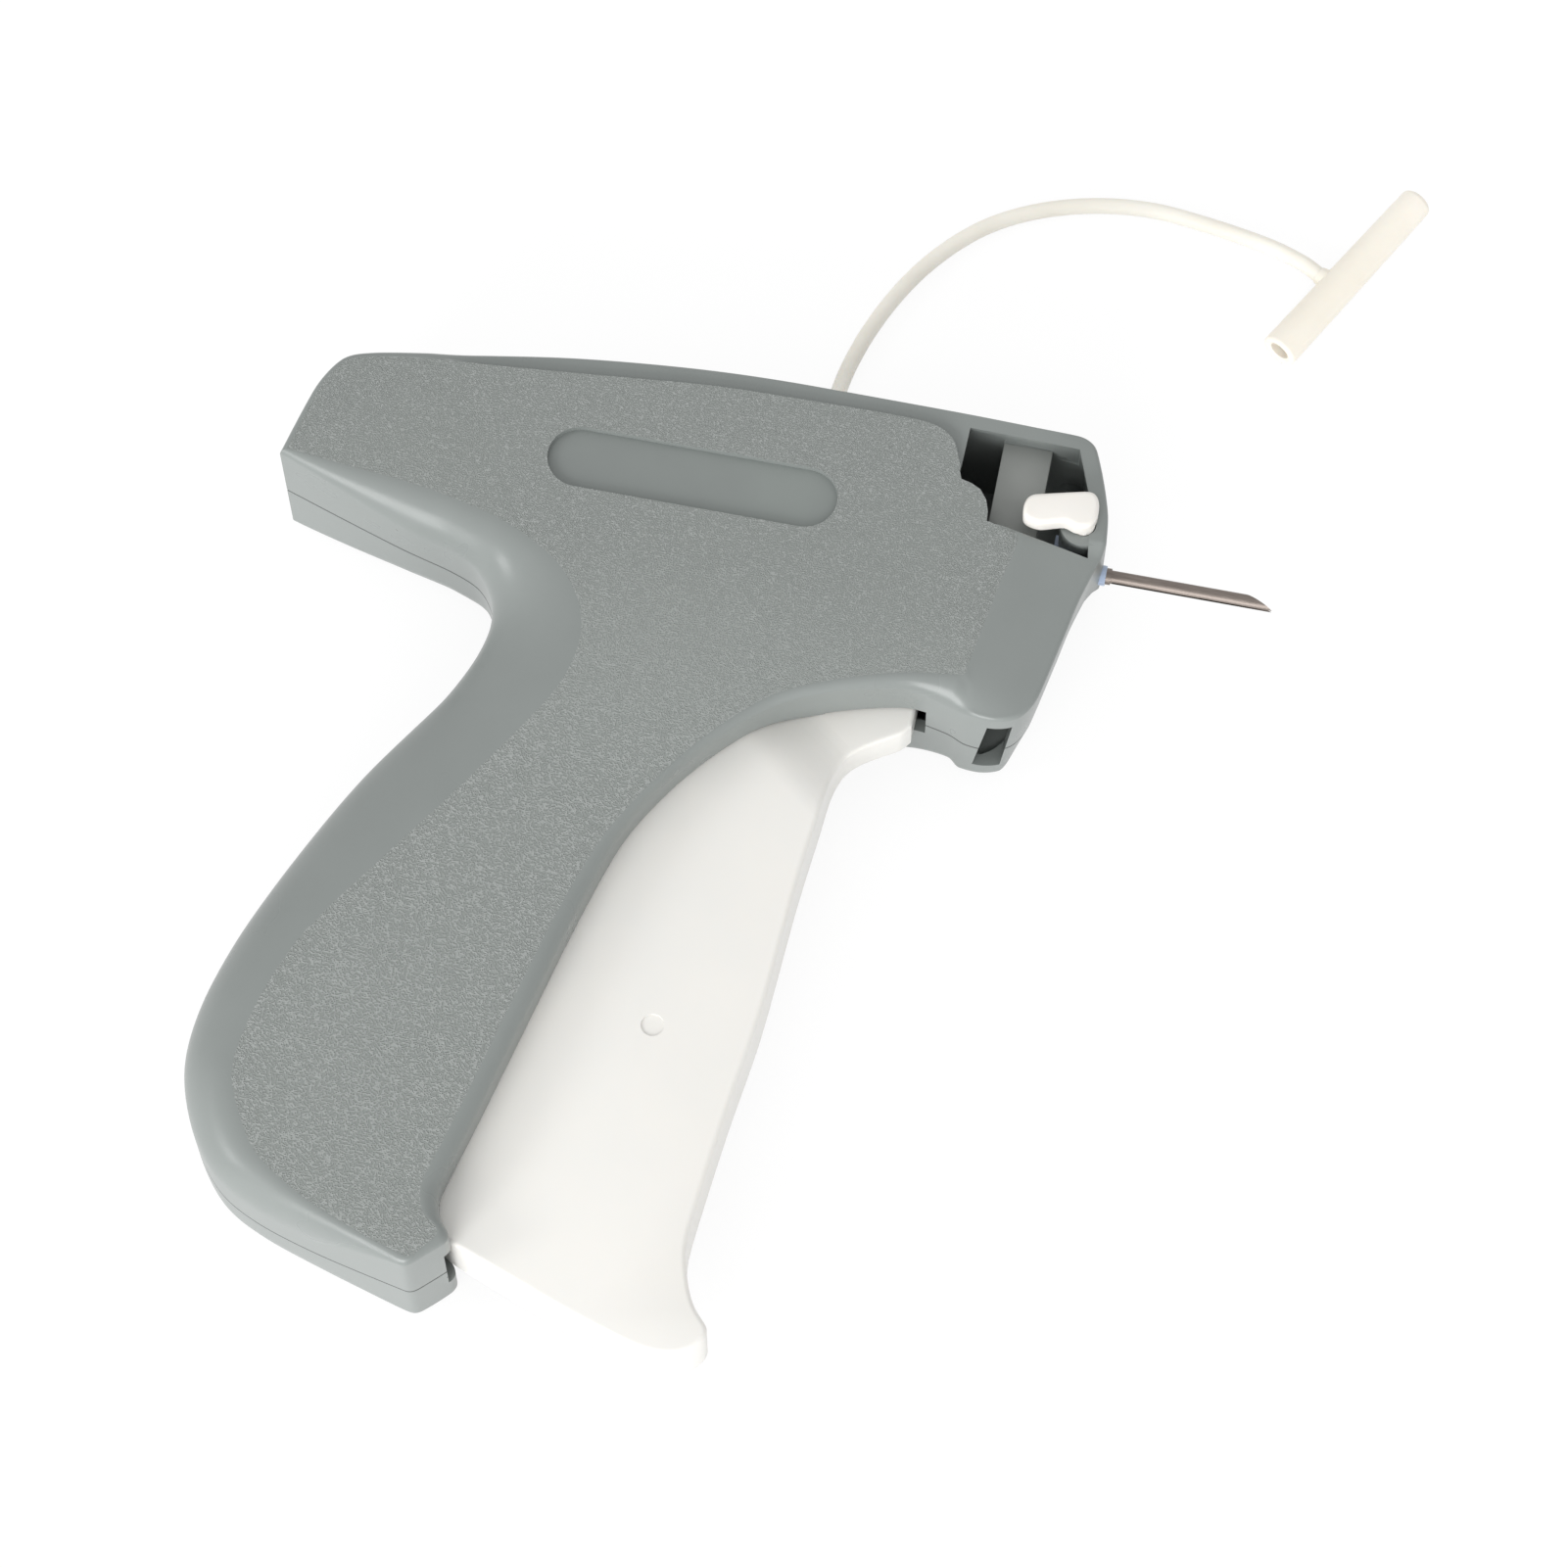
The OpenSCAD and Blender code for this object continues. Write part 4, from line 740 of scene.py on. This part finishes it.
# ---- Pieces --------------------------------------------------------------------------
class ATTACHER_OT_stage(bpy.types.Operator):
    """Camera at the photograph's angle, white surface, soft panels."""

    bl_idname = "attacher.stage"
    bl_label = "Stage"

    def execute(self, context):
        looks = context.scene.attacher_stage
        data = bpy.data.cameras.new("camera")
        data.sensor_width = 36
        data.lens = LENS
        data.clip_start = 0.05
        data.clip_end = 10
        camera = bpy.data.objects.new("camera", data)
        context.scene.collection.objects.link(camera)
        phi, tilt = math.radians(TURN), math.radians(TILT)
        away = Vector((math.sin(phi) * math.cos(tilt), -math.cos(phi) * math.cos(tilt), math.sin(tilt)))
        camera.location = Vector(TARGET) + DISTANCE * away
        camera.rotation_euler = (-away).to_track_quat("-Z", "Y").to_euler()
        context.scene.camera = camera
        context.scene.view_settings.view_transform = "Standard"

        n = Nodes("white_surface_painted_board")
        path = n.add("LightPath")
        catch = n.add("BsdfDiffuse", None, Color=linear("#f2f2f2"))
        glow = n.add("Emission", None, Color=(1, 1, 1, 1), Strength=1.04)
        near = n.calc("MAXIMUM", path.outputs["Is Camera Ray"], path.outputs["Is Glossy Ray"])
        seen = n.calc("MAXIMUM", near, path.outputs["Is Transmission Ray"])
        part = n.calc("MULTIPLY", seen, GLOW_SHARE)
        shader = n.add("MixShader", None, i0=part, i1=catch.outputs["BSDF"], i2=glow.outputs["Emission"])
        board = n.finish(shader)
        corners = [(x, y, FLOOR_Z) for x, y in box_outline(-3, 3, -3, 3)]
        floor = new_piece("floor", corners, [(0, 1, 2, 3)], mats=[board])

        world = bpy.data.worlds.new("room")
        context.scene.world = world
        world.use_nodes = True
        background = world.node_tree.nodes["Background"].inputs
        background["Color"].default_value = (1, 1, 1, 1)
        background["Strength"].default_value = looks.sky

        for name, place, size, power in (
            ("key_panel", (-0.45, -2.0, 0.65), 1.4, looks.key),
            ("fill_panel", (-1.6, -0.7, 0.9), 0.45, looks.fill),
        ):
            lamp = bpy.data.lights.new(name, "AREA")
            lamp.shape = "SQUARE"
            lamp.size = size
            lamp.energy = power
            obj = bpy.data.objects.new(name, lamp)
            obj.location = place
            obj.rotation_euler = (-Vector(place)).to_track_quat("-Z", "Y").to_euler()
            context.scene.collection.objects.link(obj)
        return {"FINISHED"}


class ATTACHER_OT_tether(bpy.types.Operator):
    """Tether cord, its anchor and the needle cap on its end."""

    bl_idname = "attacher.tether"
    bl_label = "Tether and cap"

    def execute(self, context):
        looks = context.scene.attacher_cord
        soft = plain_plastic("polyethylene_extruded_cord", looks.cord, "#ebe7dc", 0.38, 0.3, 0.02, 0.15)
        moulded = plain_plastic("polyethylene_moulded_cap", looks.cap, "#eee8db", 0.42, 0.35, 0.03, 0.15)
        path = smooth_curve(CORD_ROUTE, 8, closed=False)
        cord = tube("tether", path, looks.diameter * 500, 20, [soft])
        shade(cord, 50)
        ride_slot(cord, "housing")
        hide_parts("tether_cord")

        start = np.array([*CAP_MID, CAP_Z]) - np.array([*CAP_DIR, 0]) * CAP_LONG / 2
        b = np.linspace(0, np.pi / 2, 9)
        closed, open_r, bore = 2.7, 3.05, 1.7
        tip = [(0.0, 0.0)] + [(1.0 * (1 - math.cos(x)), closed - 1.0 * (1 - math.sin(x))) for x in b]
        end = CAP_LONG - 0.5
        body = [(s, closed + (open_r - closed) * (s - 1) / (CAP_LONG - 1)) for s in (4, 4.2, 12, 20, 28, end)]
        lip = [(CAP_LONG - 0.5 * (1 - math.sin(x)), open_r - 0.5 * (1 - math.cos(x))) for x in b[::2]]
        inside = [(CAP_LONG - 0.05, bore + 0.35), (CAP_LONG - 0.35, bore)]
        inside += [(5.2, bore), (5.0, bore - 0.2), (5.0, 0.0)]
        cap = turned("needle_cap_skin", start, (*CAP_DIR, 0), tip + body + lip + inside, 64, [moulded])
        side = np.array([-0.871, 0.492, 0.0])
        joint = np.array([CAP_MID[0] + 3 * CAP_DIR[0], CAP_MID[1] + 3 * CAP_DIR[1], CAP_Z])
        profile = [(1.8, 0), (1.8, 1.8), (2.6, 1.75), (3.4, 1.55), (3.75, 1.45), (3.8, 1.3), (3.8, 0)]
        stub = turned("stub", joint, side, profile, 40, [moulded])
        carve(cap, stub, "UNION")
        shade(cap, 40)
        ride_slot(cap, "housing")
        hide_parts("needle_cap")
        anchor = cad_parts["tether_anchor"]
        anchor.data.materials.clear()
        anchor.data.materials.append(moulded)
        return {"FINISHED"}


class ATTACHER_OT_shells(bpy.types.Operator):
    """The two moulded shells, with textured faces, smooth sides, window, badge recess and openings."""

    bl_idname = "attacher.shells"
    bl_label = "Shells"

    def execute(self, context):
        looks = context.scene.attacher_shell
        smooth = plain_plastic("abs_moulded_smooth", looks.smooth, looks.smooth_low, 0.3, 0.5, 0.04)
        # the textured ABS gets painted highlight on its crests and painted shade in its valleys
        grain = textured_plastic(
            "abs_moulded_spark_texture", looks.texture, looks.valley_shade, looks.grain, 0.5, 0.42, 0.62, 0.12
        )
        panel = plain_plastic("abs_moulded_badge_floor", "#808683", "#7b807e", 0.4, 0.5, 0.03)
        # the joint's dark ABS is painted shade: the shadow in the gap between the shells
        joint = plain_plastic("abs_moulded_joint_painted_shade", "#5a5e5c", "#545856", 0.6, 0.5, 0.03)
        q = smooth_curve(OUTLINE_KNOTS, 8)
        coarse = smooth_curve(spaced(OUTLINE_KNOTS, 3.5), 3)
        mats = [smooth, grain, panel, joint]
        for name, side, node in (("right_skin", 1, "right_shell"), ("left_skin", -1, "left_shell")):
            rings = shell_rings(q, side, looks.joint_line * 1000)
            shell = loft(name, rings if side > 0 else rings[::-1], mats)
            ids = np.zeros(len(shell.data.polygons), np.int32)
            ids[-1 if side > 0 else -2] = GRAIN
            # the chamfer at the seam carries the dark joint material, painted shade of the gap
            seam = 0 if side > 0 else (len(rings) - 2) * len(q)
            ids[seam : seam + len(q)] = JOINT_SHADE
            shell.data.polygons.foreach_set("material_index", ids)
            carve(shell, cavity_form(coarse))
            lo, hi = (WALL, SEAM) if side < 0 else (SEAM, THICK - WALL)
            base, roof = lo - 0.6, hi + (0.6 if side > 0 else 0)
            for x, y in SCREWS:
                carve(shell, prism("post", disc(x, y, POST_R), base, roof), "UNION")
            for x0, x1, y0, y1, z0, z1 in shell_ribs(side, base, lo, hi, roof):
                carve(shell, prism("rib", box_outline(x0, x1, y0, y1), z0, z1), "UNION")
            for cutter in shell_cuts(side, mats[:3]):
                carve(shell, cutter)
            if side > 0:
                carve(shell, prism("boss", disc(*LEVER_AT, BOSS_R), 18.2, 24.6), "UNION")
                carve(shell, prism("pillar_head", box_outline(*PILLAR, 15.1, 16.6), 20.6, 21.9), "UNION")
                carve(shell, prism("lever_bore", disc(*LEVER_AT, BORE_R, 40), 14, 27))
            clear_way(shell)
            shell.data.validate()
            shade(shell, 28)
            ride_slot(shell, "housing")
            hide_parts(node)
        return {"FINISHED"}


class ATTACHER_OT_trigger(bpy.types.Operator):
    """White trigger: hollow grip with rounded edges, narrow hub and the sector that drives the gear."""

    bl_idname = "attacher.trigger"
    bl_label = "Trigger"

    def execute(self, context):
        looks = context.scene.attacher_trigger
        white = plain_plastic("acetal_moulded_white", looks.white, looks.white_low, 0.34, 0.6, 0.03, 0.05)
        outline = smooth_curve(GRIP_KNOTS, 8)[::-1]
        edge = looks.edge * 1000
        grip = slab("trigger_grip", outline, 7, 19, edge, edge)
        grip.data.materials.append(white)
        carve(grip, prism("top_cut", box_outline(-60, -20, -30, -15), 6, 20))
        taper(grip)
        hub = slab("hub", outline, 9.5, 16.5, 0.5, 0.5)
        carve(hub, prism("hub_cut", box_outline(-90, -50, -140, 0), 8, 18))
        carve(grip, hub, "UNION")
        carve(grip, prism("boss", disc(*PIVOT, 6), 9.45, 16.55), "UNION")
        hollow = prism("hollow", np.array(GRIP_HOLLOW) - (3, 0), 9, 17)
        carve(hollow, prism("seat", box_outline(-52, -48, -73, -59), 6, 20))
        carve(hollow, prism("web", box_outline(-80, -44, -101, -99), 6, 20))
        carve(grip, hollow)
        carve(grip, prism("bore", disc(*PIVOT, 2.05), 5, 21))
        carve(grip, prism("ejector_mark", disc(-53.4, -88.5, 1.75, 48), 18.75, 20))
        shade(grip, 32)
        ride_slot(grip, "trigger")
        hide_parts("trigger")
        return {"FINISHED"}


class ATTACHER_OT_mechanism(bpy.types.Operator):
    """Needle, lever, guide block, slide, gear, feed and fasteners: a new lever, softened copies of the guide
    block and needle base, a copy of the return spring, and materials on the other CAD nodes.
    """

    bl_idname = "attacher.mechanism"
    bl_label = "Mechanism"

    def execute(self, context):
        shell = context.scene.attacher_shell
        looks = context.scene.attacher_trigger
        white = plain_plastic("acetal_moulded_lever", "#edeae5", "#e4e1db", 0.36, 0.5, 0.03, 0.05)
        grey = plain_plastic("abs_moulded_guide", "#8c8f8c", "#858885", 0.45, 0.5, 0.04)
        ivory = plain_plastic("acetal_natural_bearing", "#e6e1d2", "#dbd5c4", 0.4, 0.5, 0.03, 0.05)
        blue = plain_plastic("nylon_moulded_needle_base", "#a9b8cf", "#9fafc8", 0.3, 0.5, 0.02, 0.1)
        needle = steel("stainless_drawn_needle", "#978e88", "#746b65", 0.45)
        bright = steel("steel_ground_pins", "#bdbdbf", "#9b9b9d", 0.3, axis=2)
        wire = steel("spring_steel_hard_drawn", "#8f8f92", "#747477", 0.36)
        lever = slab("lock_lever_skin", smooth_curve(LEVER_KNOTS, 5), 25.1, 27.9, 0.2, 0.75)
        lever.data.materials.append(white)
        stem = prism("stem", disc(*LEVER_AT, STEM_R, 40), 14.9, 25.6)
        carve(stem, prism("cam", box_outline(-3.8, 0.6, -2.5, 11.5), 13, 17.8))
        carve(lever, stem, "UNION")
        shade(lever, 40)
        ride_slot(lever, "lock_lever")
        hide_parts("lock_lever")
        for node, material, edge, slot in (
            ("guide_block", grey, 0.0003, "shell_grey"),
            ("needle_base", blue, 0.0002, "blue_plastic"),
        ):
            piece = copy_node(node + "_skin", node, material, edge)
            ride_slot(piece, "housing")
        spring = copy_node("return_spring_skin", "return_spring", wire, 0)
        ride_slot(spring, "housing")
        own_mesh(spring)
        pins = ["trigger_pin", "gear_axle", "feed_wheel_pin", "pawl_pin"]
        for material, nodes in (
            (needle, ["needle"]),
            (bright, ["shell_screws", "push_rod", "knife", *pins]),
            (wire, ["pawl_spring", "stop_spring"]),
            (ivory, ["compound_gear", "ejector_slide", "feed_wheel", "feed_pawl"]),
        ):
            for name in nodes:
                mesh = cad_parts[name].data
                mesh.materials.clear()
                mesh.materials.append(material)
        return {"FINISHED"}


class ATTACHER_PT_panel(bpy.types.Panel):
    """Sidebar panel with the pieces of the attacher."""

    bl_idname = "ATTACHER_PT_panel"
    bl_label = "Garment tag attacher"
    bl_space_type = "VIEW_3D"
    bl_region_type = "UI"
    bl_category = "Attacher"

    def draw(self, context):
        for operator in OPERATORS:
            self.layout.operator(operator.bl_idname)
        for group in GROUPS:
            box = self.layout.box()
            settings = getattr(context.scene, group)
            for name in settings.__annotations__:
                box.prop(settings, name)


OPERATORS = (
    ATTACHER_OT_stage,
    ATTACHER_OT_tether,
    ATTACHER_OT_shells,
    ATTACHER_OT_trigger,
    ATTACHER_OT_mechanism,
)
GROUPS = {
    "attacher_shell": ShellLooks,
    "attacher_trigger": TriggerLooks,
    "attacher_cord": CordLooks,
    "attacher_stage": StageLooks,
}


def register():
    for cls in (*GROUPS.values(), *OPERATORS, ATTACHER_PT_panel):
        bpy.utils.register_class(cls)
    for name, cls in GROUPS.items():
        setattr(bpy.types.Scene, name, bpy.props.PointerProperty(type=cls))


def unregister():
    for name in GROUPS:
        delattr(bpy.types.Scene, name)
    for cls in (ATTACHER_PT_panel, *OPERATORS[::-1], *list(GROUPS.values())[::-1]):
        bpy.utils.unregister_class(cls)


def main():
    register()
    bpy.ops.attacher.stage()
    bpy.ops.attacher.tether()
    bpy.ops.attacher.shells()
    bpy.ops.attacher.trigger()
    bpy.ops.attacher.mechanism()


if __name__ == "__main__":
    main()
